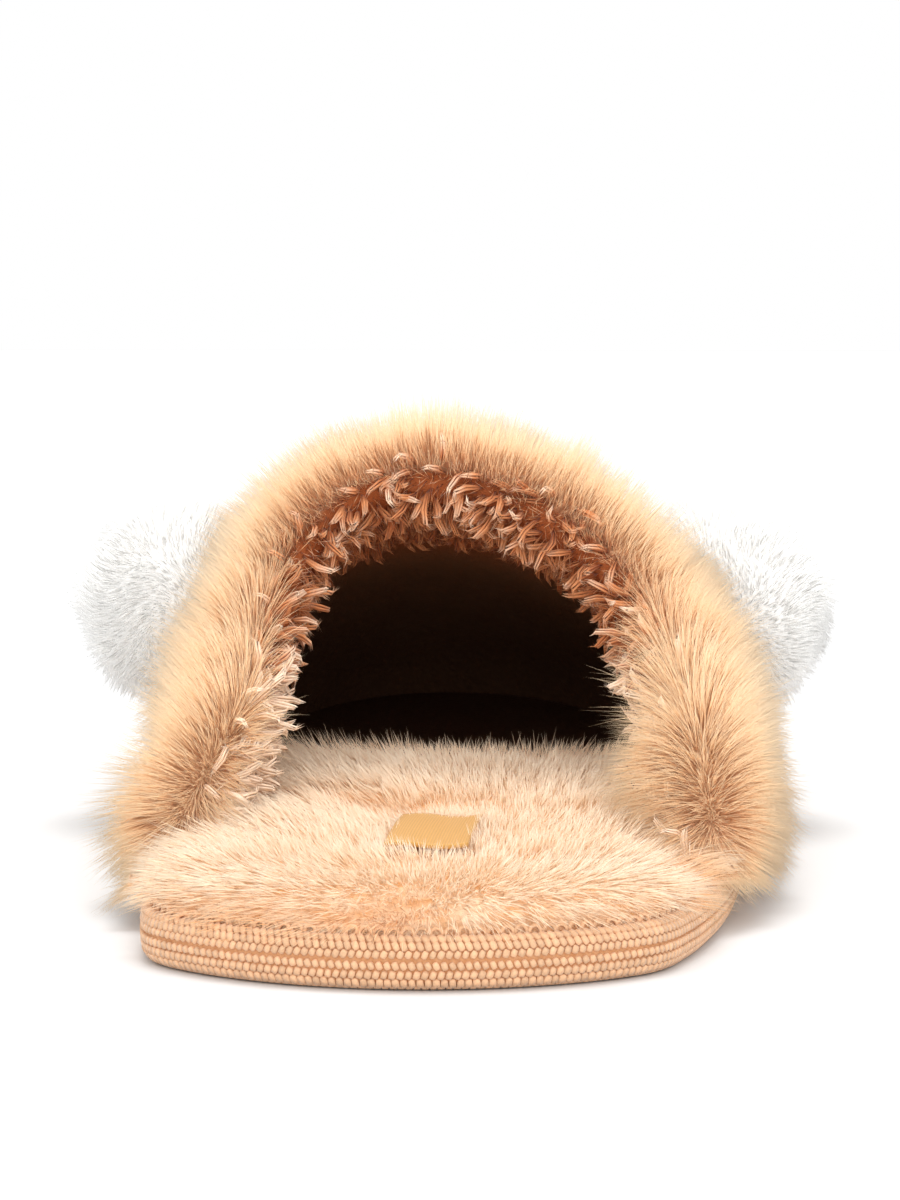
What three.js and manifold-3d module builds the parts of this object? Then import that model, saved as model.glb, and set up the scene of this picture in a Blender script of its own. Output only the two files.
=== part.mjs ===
// A plush scuff slipper for the right foot: a thin outsole with a ribbed knit binding round its edge,
// a padded insole with a short pile, a deep-pile upper that leaves the heel open, a woven label
// and two pompoms on its sides. Millimetres, +X to the outer side of the foot, +Y to the toe, +Z up.
// The origin is on the floor, under the middle of the whole slipper's box.
import * as THREE from "three";
import { mergeVertices } from "three/addons/utils/BufferGeometryUtils.js";
import Module from "manifold-3d";

const wasm = await Module();
wasm.setup();

// Driving sizes
const soleLength = 262;
const heelWidth = 83;
const ballWidth = 106;
const heelRadius = 52;
const toeRadius = 46;
const toeSwing = 12;
const toeSpring = 5;
const gap = 0.3;

// Outsole and binding
const outsoleThickness = 4;
const outsoleEdgeRound = 0.8;
const bindingHeight = 8;
const bindingWidth = 3.4;
const bindingFloorGap = 0.2;
const bindingSquareness = 0.8;
const bindingRibs = 4;
const ribDepth = 0.55;

// Insole: a pad with a short pile that swells over the binding
const insoleHeight = 15;
const insoleOverBinding = 1.4;
const insoleLockHeight = 2.4;
const insoleLockRadius = 6.6;
const insoleLocksRound = 19;
const insoleLockSink = 2.4;
const insoleLockBelowTop = 2.8;
const insoleCrownWidth = 20;

// Upper: the inside is the last, the wall is fabric and a deep pile
const lastInset = 8.5;
const medialEase = 2.5;
const lastBase = 3.5;
const apexShift = 5;
const noseRadius = 19;
const fabricThickness = 3;
const pileBody = 10;
const collarRoll = 7;
const lockHeight = 4.2;
const lockRadius = 7.6;
const lockReach = 9;
const lockSpacing = 16;
const lockDroop = 0.9;
const lockVariation = 0.18;

// Pompoms
const pomRadius = 20.4;
const pomCore = 16.8;
const pomAlong = 0.62;
const pomAroundMedial = 0.585;
const pomAroundLateral = 0.625;
const pomStandOff = 15.6;
const pomLocks = 32;
const pomLockRadius = 5.4;
const pomLockCurl = 0.6;

// Label
const labelWidth = 13;
const labelLength = 30;
const labelThickness = 0.8;
const labelFromHeel = 42;
const labelToSide = 0.8;
const labelDepthInPile = 1;
const labelMargin = 0.8;

// How finely the shapes are cut
const stations = 48;
const rowsAlong = 12;
const rowsAround = 24;
const rimSteps = 4;
const lockSides = 4;
const pomFineness = 2;

// Half widths of the sole, each a share of the width that it follows, from heel to toe
const soleSections = [
  { along: 0.05, follows: heelWidth, medial: 0.42, lateral: 0.42 },
  { along: 0.1, follows: heelWidth, medial: 0.487, lateral: 0.5 },
  { along: 0.155, follows: heelWidth, medial: 0.502, lateral: 0.54 },
  { along: 0.26, follows: heelWidth, medial: 0.488, lateral: 0.58 },
  { along: 0.34, follows: ballWidth, medial: 0.37, lateral: 0.468 },
  { along: 0.45, follows: ballWidth, medial: 0.4, lateral: 0.49 },
  { along: 0.56, follows: ballWidth, medial: 0.445, lateral: 0.515 },
  { along: 0.65, follows: ballWidth, medial: 0.475, lateral: 0.525 },
  { along: 0.75, follows: ballWidth, medial: 0.465, lateral: 0.505 },
  { along: 0.85, follows: ballWidth, medial: 0.4, lateral: 0.43 },
  { along: 0.93, follows: ballWidth, medial: 0.295, lateral: 0.315 },
];

// A lock's shoulder as shares of its height, reach and radius
const lockShoulder = { height: 0.7, reach: 0.35, radius: 0.62 };

// The insole's side from its edge to its crown: how far in, as a share of the crown's width, and how high
const insoleSide = [
  { inward: 0, height: 0.14 },
  { inward: 0.02, height: 0.5 },
  { inward: 0.15, height: 0.8 },
  { inward: 0.45, height: 0.95 },
  { inward: 1, height: 1 },
];

// Locks on the open heel of the insole, beside the label
const heelLocks = [
  { along: 0.1, across: -0.26 },
  { along: 0.1, across: 0.28 },
  { along: 0.23, across: -0.3 },
  { along: 0.23, across: 0.25 },
  { along: 0.35, across: -0.24 },
  { along: 0.35, across: 0.3 },
];

// Height of the last's ridge over the floor
const instepHeight = 62.5;
const instepSections = [
  { along: 0.2, height: 0.93 },
  { along: 0.33, height: 0.99 },
  { along: 0.44, height: 1 },
  { along: 0.54, height: 0.94 },
  { along: 0.63, height: 0.855 },
  { along: 0.73, height: 0.76 },
  { along: 0.82, height: 0.66 },
  { along: 0.9, height: 0.525 },
];

// Height of the insole's middle as shares of its height at the heel: it swells under the arch of the foot
const insoleSections = [
  { along: 0.02, height: 1 },
  { along: 0.2, height: 1.02 },
  { along: 0.35, height: 1.08 },
  { along: 0.47, height: 1.12 },
  { along: 0.6, height: 1.04 },
  { along: 0.8, height: 0.9 },
  { along: 1, height: 0.88 },
];

// The collar's edge, from the ridge (around 0) down to the sole (around 1), as shares of the length
const collarSections = [
  { around: 0, medial: 0.46, lateral: 0.46 },
  { around: 0.3, medial: 0.455, lateral: 0.455 },
  { around: 0.5, medial: 0.43, lateral: 0.435 },
  { around: 0.65, medial: 0.37, lateral: 0.385 },
  { around: 0.8, medial: 0.28, lateral: 0.3 },
  { around: 1, medial: 0.185, lateral: 0.205 },
];

const clamp01 = (t) => Math.min(1, Math.max(0, t));
const smooth = (t) => clamp01(t) ** 2 * (3 - 2 * clamp01(t));

// A smooth curve through a table's rows: cubic, with slopes from the neighbouring rows.
function through(rows, at) {
  const last = rows.length - 1;
  const slope = (i) => {
    const a = rows[Math.max(0, i - 1)];
    const b = rows[Math.min(last, i + 1)];
    return (b[1] - a[1]) / (b[0] - a[0]);
  };
  if (at <= rows[0][0]) return rows[0][1];
  if (at >= rows[last][0]) return rows[last][1];
  const i = rows.findIndex((row, k) => k < last && at <= rows[k + 1][0]);
  const width = rows[i + 1][0] - rows[i][0];
  const t = (at - rows[i][0]) / width;
  return (
    rows[i][1] * (1 + 2 * t) * (1 - t) ** 2 +
    slope(i) * width * t * (1 - t) ** 2 +
    rows[i + 1][1] * t * t * (3 - 2 * t) +
    slope(i + 1) * width * t * t * (t - 1)
  );
}

// The length runs as -cos(turn): 0 at the heel, PI at the toe. Widths and heights hold a factor sin(turn),
// so the ends come out round and the tables hold only how full the shape is.
const turnAt = (along) => Math.acos(1 - 2 * along);
const halfLength = soleLength / 2;

function fullness(sections, column, size, ends) {
  const rows = sections.map((row) => {
    const turn = turnAt(row.along);
    return [turn, size(row, column) / Math.sin(turn)];
  });
  if (ends.heel) rows.unshift([0, Math.sqrt(ends.heel * halfLength)]);
  rows.push([Math.PI, Math.sqrt(ends.toe * halfLength)]);
  return rows;
}

const soleEnds = { heel: heelRadius, toe: toeRadius };
const widthOf = (row, column) => row[column] * row.follows;
const soleFullness = {
  medial: fullness(soleSections, "medial", widthOf, soleEnds),
  lateral: fullness(soleSections, "lateral", widthOf, soleEnds),
};
const ridgeFullness = fullness(
  instepSections,
  "height",
  (row, column) => row[column] * instepHeight - lastBase,
  { toe: noseRadius },
);

const swingStart = 0.3;
const springStart = 0.72;
const shareOf = (y) => y / soleLength + 0.5;
const swing = (y) =>
  -toeSwing * smooth((shareOf(y) - swingStart) / (1 - swingStart));
const lift = (y) =>
  toeSpring * clamp01((shareOf(y) - springStart) / (1 - springStart)) ** 2;

const sideName = (side) => (side < 0 ? "medial" : "lateral");
const halfWidth = (turn, side, inset) =>
  Math.sin(turn) * (through(soleFullness[sideName(side)], turn) - inset);

const insoleRows = insoleSections.map((row) => [row.along, row.height]);
const insoleTop = (y) => insoleHeight * through(insoleRows, shareOf(y));

// A point of the sole's outline moved in by inset. Its height z over the lifted floor line is a number,
// or a function of the place along the sole.
function edgePoint(turn, side, inset, z) {
  const y = -(halfLength - inset) * Math.cos(turn);
  const x = swing(y) + side * halfWidth(turn, side, inset);
  const height = typeof z === "function" ? z(y) : z;
  return new THREE.Vector3(x, y, height + lift(y));
}

function outlineRing(inset, z) {
  return Array.from({ length: stations }, (_, i) => {
    const turn = (2 * Math.PI * i) / stations;
    return turn <= Math.PI
      ? edgePoint(turn, 1, inset, z)
      : edgePoint(2 * Math.PI - turn, -1, inset, z);
  });
}

// A solid from vertices and triangles, with shared vertices merged.
function solidFrom(points, faces) {
  const soup = new Float32Array(
    faces.flatMap((face) => face.flatMap((i) => points[i].toArray())),
  );
  const geometry = new THREE.BufferGeometry();
  geometry.setAttribute("position", new THREE.BufferAttribute(soup, 3));
  return solidOfGeometry(geometry);
}

function solidOfGeometry(source) {
  const bare = new THREE.BufferGeometry();
  const flat = source.index ? source.toNonIndexed() : source;
  bare.setAttribute("position", flat.getAttribute("position"));
  const merged = mergeVertices(bare, 1e-4);
  const index = merged.index.array;
  const kept = [];
  for (let i = 0; i < index.length; i += 3) {
    const [a, b, c] = [index[i], index[i + 1], index[i + 2]];
    if (a !== b && b !== c && a !== c) kept.push(a, b, c);
  }
  return new wasm.Manifold(
    new wasm.Mesh({
      numProp: 3,
      vertProperties: new Float32Array(merged.attributes.position.array),
      triVerts: new Uint32Array(kept),
    }),
  );
}

const joined = (solids) => wasm.Manifold.union(solids);

// A stack of outline rings, from the lowest to the top, closed by strips across the first and the last.
function stack(rings) {
  const points = rings.flat();
  const faces = [];
  const at = (ring, i) => ring * stations + ((i + stations) % stations);
  for (let ring = 0; ring + 1 < rings.length; ring++)
    for (let i = 0; i < stations; i++) {
      faces.push([at(ring, i), at(ring, i + 1), at(ring + 1, i + 1)]);
      faces.push([at(ring, i), at(ring + 1, i + 1), at(ring + 1, i)]);
    }
  const top = rings.length - 1;
  for (let i = 0; i < stations / 2; i++) {
    faces.push([at(top, i), at(top, i + 1), at(top, -i - 1)]);
    faces.push([at(top, i), at(top, -i - 1), at(top, -i)]);
    faces.push([at(0, i + 1), at(0, i), at(0, -i)]);
    faces.push([at(0, i + 1), at(0, -i), at(0, -i - 1)]);
  }
  return solidFrom(points, faces);
}

function makeOutsole() {
  const inset = bindingWidth + gap;
  return stack([
    outlineRing(inset + outsoleEdgeRound, 0),
    outlineRing(inset, outsoleEdgeRound),
    outlineRing(inset, outsoleThickness),
  ]);
}

// The binding's section is a squarish half round with ribs that run along the sole's edge.
function bindingProfile() {
  const middle = (bindingHeight + bindingFloorGap) / 2;
  const tall = (bindingHeight - bindingFloorGap) / 2;
  const squared = (t) => Math.sign(t) * Math.abs(t) ** bindingSquareness;
  return Array.from({ length: 2 * bindingRibs + 1 }, (_, i) => {
    const angle = (i / (2 * bindingRibs) - 0.5) * Math.PI;
    const dip = i % 2 ? 0 : ribDepth;
    return {
      inset: bindingWidth - (bindingWidth - dip) * squared(Math.cos(angle)),
      z: middle + tall * squared(Math.sin(angle)),
    };
  });
}

function makeBinding() {
  const profile = bindingProfile();
  const count = profile.length;
  const points = profile.flatMap(({ inset, z }) => outlineRing(inset, z));
  const faces = [];
  const at = (k, i) => (k % count) * stations + (i % stations);
  for (let k = 0; k < count; k++)
    for (let i = 0; i < stations; i++) {
      faces.push([at(k, i), at(k, i + 1), at(k + 1, i + 1)]);
      faces.push([at(k, i), at(k + 1, i + 1), at(k + 1, i)]);
    }
  return solidFrom(points, faces);
}

// The last: around runs from -1 at the medial edge over the ridge to 1 at the lateral edge.
function lastPoint(turn, around) {
  const side = around < 0 ? -1 : 1;
  const angle = (around * Math.PI) / 2;
  const y = -(halfLength - lastInset) * Math.cos(turn);
  const ridge = Math.sin(turn) * through(ridgeFullness, turn);
  const ease = side < 0 ? medialEase * Math.sin(turn) : 0;
  const across =
    (halfWidth(turn, side, lastInset) + ease) * Math.abs(Math.sin(angle));
  const shift = apexShift * Math.sin(turn) * Math.cos(angle) ** 2;
  return new THREE.Vector3(
    swing(y) + side * across - shift,
    y,
    lastBase + lift(y) + ridge * Math.cos(angle),
  );
}

function lastNormal(turn, around) {
  const step = 1e-3;
  if (turn > Math.PI - step) return new THREE.Vector3(0, 1, 0);
  const alongLast = lastPoint(turn + step, around).sub(
    lastPoint(turn - step, around),
  );
  const acrossLast = lastPoint(turn, around + step).sub(
    lastPoint(turn, around - step),
  );
  return acrossLast.cross(alongLast).normalize();
}

function backward(turn, around) {
  const step = 1e-3;
  return lastPoint(turn - step, around).sub(lastPoint(turn, around)).normalize();
}

const collarRows = (column) =>
  collarSections.map((row) => [row.around, turnAt(row[column])]);
const collarTurns = {
  medial: collarRows("medial"),
  lateral: collarRows("lateral"),
};
const collarTurn = (around) =>
  through(collarTurns[sideName(around)], Math.abs(around));

// The upper's wall between two offsets from the last, with a rolled collar edge.
function makeWall(inner, outer, roll) {
  const points = [];
  const add = (point) => points.push(point) - 1;
  const offset = (turn, around, out) =>
    lastPoint(turn, around).addScaledVector(lastNormal(turn, around), out);
  const around = (j) => (2 * j) / rowsAround - 1;
  // Each column of points goes from the toe over the outside to the collar, round its roll and back inside.
  const columns = Array.from({ length: rowsAround + 1 }, (_, j) => {
    const v = around(j);
    const start = collarTurn(v);
    const turn = (i) => start + ((Math.PI - start) * i) / rowsAlong;
    const column = [];
    for (let i = rowsAlong; i >= 0; i--) column.push(offset(turn(i), v, outer));
    const middle = (inner + outer) / 2;
    const reach = (outer - inner) / 2;
    const back = backward(start, v);
    for (let k = 1; k < rimSteps; k++) {
      const angle = (Math.PI * k) / rimSteps;
      column.push(
        offset(start, v, middle + reach * Math.cos(angle)).addScaledVector(
          back,
          roll * Math.sin(angle),
        ),
      );
    }
    for (let i = 0; i <= rowsAlong; i++) column.push(offset(turn(i), v, inner));
    return column.map(add);
  });
  const length = columns[0].length;
  const faces = [];
  for (let j = 0; j < rowsAround; j++)
    for (let i = 0; i + 1 < length; i++) {
      const [a, b] = [columns[j], columns[j + 1]];
      faces.push([a[i], a[i + 1], b[i + 1]]);
      faces.push([a[i], b[i + 1], b[i]]);
    }
  // The underside, where both edges of the wall stand on the sole.
  for (const [column, turned] of [
    [columns[0], false],
    [columns[rowsAround], true],
  ])
    for (let i = 0; i < (length - 1) / 2; i++) {
      const [a, b] = [column[i], column[i + 1]];
      const [c, d] = [column[length - 2 - i], column[length - 1 - i]];
      faces.push(turned ? [a, b, c] : [a, c, b]);
      faces.push(turned ? [a, c, d] : [a, d, c]);
    }
  return solidFrom(points, faces);
}

// A lock of pile: a bent cone that leans along the surface, with its foot sunk into what carries it.
function makeLock(root, normal, lean, { radius, height, reach, sink }) {
  const sides = lockSides;
  const across = new THREE.Vector3().crossVectors(normal, lean).normalize();
  const flat = new THREE.Vector3().crossVectors(across, normal).normalize();
  const ring = (out, along, size) =>
    Array.from({ length: sides }, (_, i) => {
      const angle = (2 * Math.PI * i) / sides;
      return root
        .clone()
        .addScaledVector(normal, out)
        .addScaledVector(flat, along + size * Math.cos(angle))
        .addScaledVector(across, size * Math.sin(angle));
    });
  const points = [
    ...ring(-sink, 0, radius),
    ...ring(
      height * lockShoulder.height,
      reach * lockShoulder.reach,
      radius * lockShoulder.radius,
    ),
    root.clone().addScaledVector(normal, height).addScaledVector(flat, reach),
  ];
  const tip = points.length - 1;
  const faces = [];
  for (let i = 0; i < sides; i++) {
    const next = (i + 1) % sides;
    faces.push([i, next, sides + next], [i, sides + next, sides + i]);
    faces.push([sides + i, sides + next, tip]);
    if (i > 1) faces.push([0, i, i - 1]);
  }
  const lock = solidFrom(points, faces);
  return lock.volume() > 0
    ? lock
    : solidFrom(
        points,
        faces.map(([a, b, c]) => [a, c, b]),
      );
}

const coat = fabricThickness + pileBody;
const pomTurn = turnAt(pomAlong);
function pomCentre(side) {
  const around = side < 0 ? -pomAroundMedial : pomAroundLateral;
  return lastPoint(pomTurn, around).addScaledVector(
    lastNormal(pomTurn, around),
    pomStandOff,
  );
}

// Locks stand in rows over the coat, every second row set over by half a lock, and lean back and down.
function coatLocks() {
  const locks = [];
  const down = new THREE.Vector3(0, 0, -1);
  const top = lastPoint(collarTurn(0), 0);
  const toe = lastPoint(Math.PI, 0);
  const rows = Math.floor(top.distanceTo(toe) / lockSpacing);
  for (let i = 0; i < rows; i++) {
    const share = (i + 0.5) / rows;
    const middleTurn = collarTurn(0) + (Math.PI - collarTurn(0)) * share;
    const girth = Math.PI * halfWidth(middleTurn, 1, -coat);
    const count = Math.max(lockSides, Math.round(girth / lockSpacing));
    for (let j = 0; j < count; j++) {
      const around = (2 * (j + (i % 2 ? 0.75 : 0.25))) / count - 1;
      const start = collarTurn(around);
      const turn = start + (Math.PI - start) * share;
      const normal = lastNormal(turn, around);
      const root = lastPoint(turn, around).addScaledVector(normal, coat);
      const nearPom = [-1, 1].some(
        (side) => root.distanceTo(pomCentre(side)) < pomRadius + lockRadius,
      );
      if (nearPom || root.z < bindingHeight + lockHeight / 2) continue;
      const lean = backward(turn, around).addScaledVector(
        down,
        lockDroop * Math.abs(around),
      );
      const size = 1 + lockVariation * Math.sin(7 * i + 3 * j);
      locks.push(
        makeLock(root, normal, lean, {
          radius: lockRadius * size,
          height: lockHeight * size,
          reach: lockReach,
          sink: fabricThickness,
        }),
      );
    }
  }
  return locks;
}

// Everything under the wall: the sole's outline up to a height, grown by a clearance.
const soleBlock = (top, grow) =>
  stack([outlineRing(-grow, -2 * bindingHeight), outlineRing(-grow, top)]);

const ballAt = (centre, radius, detail) =>
  solidOfGeometry(
    new THREE.IcosahedronGeometry(radius, detail).translate(
      centre.x,
      centre.y,
      centre.z,
    ),
  );

function makeUpper() {
  const body = joined([makeWall(0, coat, collarRoll), ...coatLocks()]);
  const fabric = makeWall(0, fabricThickness, fabricThickness / 2);
  const pockets = joined(
    [-1, 1].map((side) =>
      ballAt(pomCentre(side), pomRadius + gap, pomFineness + 1),
    ),
  );
  return body
    .subtract(pockets.subtract(fabric))
    .subtract(soleBlock(bindingHeight + gap, gap));
}

function makePompom(side) {
  const centre = pomCentre(side);
  const locks = Array.from({ length: pomLocks }, (_, i) => {
    const z = 1 - (2 * (i + 0.5)) / pomLocks;
    const angle = i * Math.PI * (3 - Math.sqrt(5));
    const flat = Math.sqrt(1 - z * z);
    const normal = new THREE.Vector3(
      flat * Math.cos(angle),
      flat * Math.sin(angle),
      z,
    );
    const lean = new THREE.Vector3(-normal.y, normal.x, pomLockCurl);
    const root = centre.clone().addScaledVector(normal, pomCore);
    return makeLock(root, normal, lean, {
      radius: pomLockRadius,
      height: pomRadius - pomCore - gap,
      reach: pomLockRadius / 3,
      sink: pomLockRadius / 2,
    });
  });
  const ball = joined([ballAt(centre, pomCore + 1, pomFineness), ...locks]);
  const deepest = pomStandOff - pomRadius - gap;
  return ball.subtract(makeWall(deepest, fabricThickness + gap, gap));
}

// The pad's edge rings from its foot to its crown: inset from the outline, and height.
function insoleRings() {
  const inside = bindingWidth + gap;
  const foot = outsoleThickness + gap;
  const shoulder = bindingHeight + gap;
  const swell = (share) => (y) => shoulder + (insoleTop(y) - shoulder) * share;
  return [
    outlineRing(inside, foot),
    outlineRing(inside, shoulder),
    ...insoleSide.map(({ inward, height }) =>
      outlineRing(insoleOverBinding + inward * insoleCrownWidth, swell(height)),
    ),
  ];
}

function insoleLocks() {
  const locks = [];
  const up = new THREE.Vector3(0, 0, 1);
  const openTurn = turnAt(collarSections[collarSections.length - 1].medial);
  for (let i = 0; i <= insoleLocksRound; i++) {
    const share = (2 * i) / insoleLocksRound - 1;
    const side = share < 0 ? -1 : 1;
    const turn = Math.abs(share) * openTurn;
    const rim = edgePoint(turn, side, 0, 0);
    const outward = rim
      .clone()
      .sub(edgePoint(turn, side, bindingWidth, 0))
      .normalize();
    const root = rim.addScaledVector(outward, -bindingWidth);
    root.z = insoleTop(root.y) - insoleLockBelowTop;
    locks.push({ root, normal: outward.clone().add(up).normalize(), outward });
  }
  for (const { along, across } of heelLocks) {
    const y = (along - 0.5) * soleLength;
    const root = new THREE.Vector3(across * heelWidth, y, insoleTop(y) - gap);
    locks.push({ root, normal: up, outward: new THREE.Vector3(0, -1, 0) });
  }
  return locks.map(({ root, normal, outward }) =>
    makeLock(root, normal, outward, {
      radius: insoleLockRadius,
      height: insoleLockHeight,
      reach: insoleLockRadius / 2,
      sink: insoleLockSink,
    }),
  );
}

const labelMiddle = -halfLength + labelFromHeel + labelLength / 2;
const labelTop = insoleTop(labelMiddle) - labelDepthInPile;

// A block where the label is, wider by a margin all round.
function labelBlock(margin, low, high) {
  const box = new THREE.BoxGeometry(
    labelWidth + 2 * margin,
    labelLength + 2 * margin,
    high - low,
  );
  return solidOfGeometry(
    box.translate(labelToSide, labelMiddle, (low + high) / 2),
  );
}

function makeInsole() {
  const pad = joined([stack(insoleRings()), ...insoleLocks()]);
  const wall = makeWall(-gap, coat, collarRoll + gap);
  const kept = soleBlock(bindingHeight, 0);
  const pocket = labelBlock(
    labelMargin,
    labelTop - labelThickness - gap,
    2 * insoleHeight,
  );
  const overBinding = soleBlock(bindingHeight + gap, insoleLockRadius).subtract(
    soleBlock(insoleHeight, -bindingWidth - gap / 2),
  );
  return pad
    .subtract(wall.subtract(kept))
    .subtract(overBinding)
    .subtract(pocket);
}

const makeLabel = () => labelBlock(0, labelTop - labelThickness, labelTop);

const finish = (color, roughness) =>
  new THREE.MeshStandardMaterial({ color, roughness, metalness: 0 });
const tanPlush = finish(0xecbf8f, 0.95);
const whitePlush = finish(0xf6f5f2, 0.95);
const knit = finish(0xe0ac7c, 0.7);
const suede = finish(0xb98a60, 0.9);
const goldWeave = finish(0xe3b45c, 0.65);

function addPiece(group, name, solid, material) {
  const made = solid.getMesh();
  const geometry = new THREE.BufferGeometry();
  geometry.setAttribute(
    "position",
    new THREE.BufferAttribute(new Float32Array(made.vertProperties), 3),
  );
  geometry.setIndex(new THREE.BufferAttribute(new Uint32Array(made.triVerts), 1));
  geometry.computeVertexNormals();
  const mesh = new THREE.Mesh(geometry, material);
  mesh.name = name;
  group.add(mesh);
}

const slipper = new THREE.Group();
addPiece(slipper, "outsole", makeOutsole(), suede);
addPiece(slipper, "binding", makeBinding(), knit);
addPiece(slipper, "insole", makeInsole(), tanPlush);
addPiece(slipper, "upper", makeUpper(), tanPlush);
addPiece(slipper, "label", makeLabel(), goldWeave);
addPiece(slipper, "pompom_medial", makePompom(-1), whitePlush);
addPiece(slipper, "pompom_lateral", makePompom(1), whitePlush);

// The box of the whole slipper stands on the floor, centred on the origin.
const box = new THREE.Box3().setFromObject(slipper);
slipper.position.set(
  -(box.min.x + box.max.x) / 2,
  -(box.min.y + box.max.y) / 2,
  -box.min.z,
);

export default slipper;
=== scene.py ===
"""A plush scuff slipper for the right foot: its fur, curly lining, insole, knit binding, label and pompoms,
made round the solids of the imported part. Metres, +X to the outer side of the foot, +Y to the toe, +Z up."""

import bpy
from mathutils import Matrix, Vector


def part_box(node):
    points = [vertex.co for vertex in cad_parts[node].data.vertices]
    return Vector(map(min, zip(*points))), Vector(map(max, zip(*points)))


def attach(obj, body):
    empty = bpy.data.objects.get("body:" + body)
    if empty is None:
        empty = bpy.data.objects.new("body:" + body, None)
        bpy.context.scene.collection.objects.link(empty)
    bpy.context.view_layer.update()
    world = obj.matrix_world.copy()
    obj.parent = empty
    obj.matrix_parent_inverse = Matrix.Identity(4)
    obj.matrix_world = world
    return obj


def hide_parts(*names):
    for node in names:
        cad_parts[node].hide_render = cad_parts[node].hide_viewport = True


bl_info = {
    "name": "Plush Scuff Slipper",
    "version": (1, 0, 0),
    "blender": (4, 5, 0),
    "location": "3D View > Sidebar > Slipper",
    "description": "Makes the fur, lining, knit binding, label and pompoms of a scuff slipper",
    "category": "Add Mesh",
}

import math

import bmesh
import bpy
import numpy as np
from bpy.props import FloatProperty, FloatVectorProperty, IntProperty, PointerProperty
from mathutils import Matrix, Vector

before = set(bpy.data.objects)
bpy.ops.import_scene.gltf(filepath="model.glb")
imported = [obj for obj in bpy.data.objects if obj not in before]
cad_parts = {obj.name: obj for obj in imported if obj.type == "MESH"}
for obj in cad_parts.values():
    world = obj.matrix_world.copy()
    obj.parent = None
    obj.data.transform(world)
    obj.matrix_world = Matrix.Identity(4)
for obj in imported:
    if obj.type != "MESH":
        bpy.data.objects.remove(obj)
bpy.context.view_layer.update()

# The sole, as in the solids
SOLE_LENGTH = 0.262
HALF_LENGTH = SOLE_LENGTH / 2
HEEL_WIDTH = 0.083
BALL_WIDTH = 0.106
HEEL_RADIUS = 0.052
TOE_RADIUS = 0.046
TOE_SWING = 0.012
TOE_SPRING = 0.005
SWING_START = 0.3
SPRING_START = 0.72
BINDING_HEIGHT = 0.008
BINDING_WIDTH = 0.0034
BINDING_FLOOR_GAP = 0.0002
BINDING_SQUARENESS = 0.8

# The insole and its label
INSOLE_HEIGHT = 0.015
INSOLE_OVER_BINDING = 0.0014
INSOLE_CROWN_WIDTH = 0.02
LABEL_WIDTH = 0.013
LABEL_LENGTH = 0.03
LABEL_FROM_HEEL = 0.042
LABEL_TO_SIDE = 0.0008

# The last that the upper is made on
LAST_INSET = 0.0085
LAST_BASE = 0.0035
MEDIAL_EASE = 0.0025
APEX_SHIFT = 0.005
NOSE_RADIUS = 0.019
INSTEP_HEIGHT = 0.0625

# Columns: share of the length, width followed, medial share, lateral share
SOLE_SECTIONS = (
    (0.05, HEEL_WIDTH, 0.42, 0.42),
    (0.1, HEEL_WIDTH, 0.487, 0.5),
    (0.155, HEEL_WIDTH, 0.502, 0.54),
    (0.26, HEEL_WIDTH, 0.488, 0.58),
    (0.34, BALL_WIDTH, 0.37, 0.468),
    (0.45, BALL_WIDTH, 0.4, 0.49),
    (0.56, BALL_WIDTH, 0.445, 0.515),
    (0.65, BALL_WIDTH, 0.475, 0.525),
    (0.75, BALL_WIDTH, 0.465, 0.505),
    (0.85, BALL_WIDTH, 0.4, 0.43),
    (0.93, BALL_WIDTH, 0.295, 0.315),
)
# Columns: share of the length, share of the instep's height
INSTEP_SECTIONS = (
    (0.2, 0.93),
    (0.33, 0.99),
    (0.44, 1.0),
    (0.54, 0.94),
    (0.63, 0.855),
    (0.73, 0.76),
    (0.82, 0.66),
    (0.9, 0.525),
)
# Columns: share of the length, share of the insole's height
INSOLE_SECTIONS = (
    (0.02, 1.0),
    (0.2, 1.02),
    (0.35, 1.08),
    (0.47, 1.12),
    (0.6, 1.04),
    (0.8, 0.9),
    (1.0, 0.88),
)
# Columns: from the ridge (0) down to the sole (1), share of the length on the medial and the lateral side
COLLAR_SECTIONS = (
    (0.0, 0.46, 0.46),
    (0.3, 0.455, 0.455),
    (0.5, 0.43, 0.435),
    (0.65, 0.37, 0.385),
    (0.8, 0.28, 0.3),
    (1.0, 0.185, 0.205),
)

# The camera stands behind the heel, with the picture's frame of 900 by 1200
FRAME_HEIGHT = 1200
FOCAL_PIXELS = 3409
CAMERA_BACK = 0.473
CAMERA_HEIGHT = 0.097
CAMERA_DOWN = math.radians(5)
CAMERA_YAW = math.radians(5)
HEEL_IN_VIEW = -0.0082
SENSOR = 36.0


def srgb(red, green, blue):
    """A picture's colour, 0 to 255, as the linear colour that the shaders take."""
    share = np.array((red, green, blue)) / 255
    linear = np.where(share <= 0.04045, share / 12.92, ((share + 0.055) / 1.055) ** 2.4)
    return tuple(float(v) for v in linear)


# Form: the same curves that the solids follow, for whole arrays of places


def through(rows, at):
    """A smooth curve through a table's rows: cubic, with slopes from the neighbouring rows."""
    x, y = np.array(rows, float).T
    slope = np.empty_like(y)
    slope[1:-1] = (y[2:] - y[:-2]) / (x[2:] - x[:-2])
    slope[0] = (y[1] - y[0]) / (x[1] - x[0])
    slope[-1] = (y[-1] - y[-2]) / (x[-1] - x[-2])
    at = np.clip(at, x[0], x[-1])
    i = np.clip(np.searchsorted(x, at) - 1, 0, len(x) - 2)
    width = x[i + 1] - x[i]
    t = (at - x[i]) / width
    return (
        y[i] * (1 + 2 * t) * (1 - t) ** 2
        + slope[i] * width * t * (1 - t) ** 2
        + y[i + 1] * t * t * (3 - 2 * t)
        + slope[i + 1] * width * t * t * (t - 1)
    )


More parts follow.
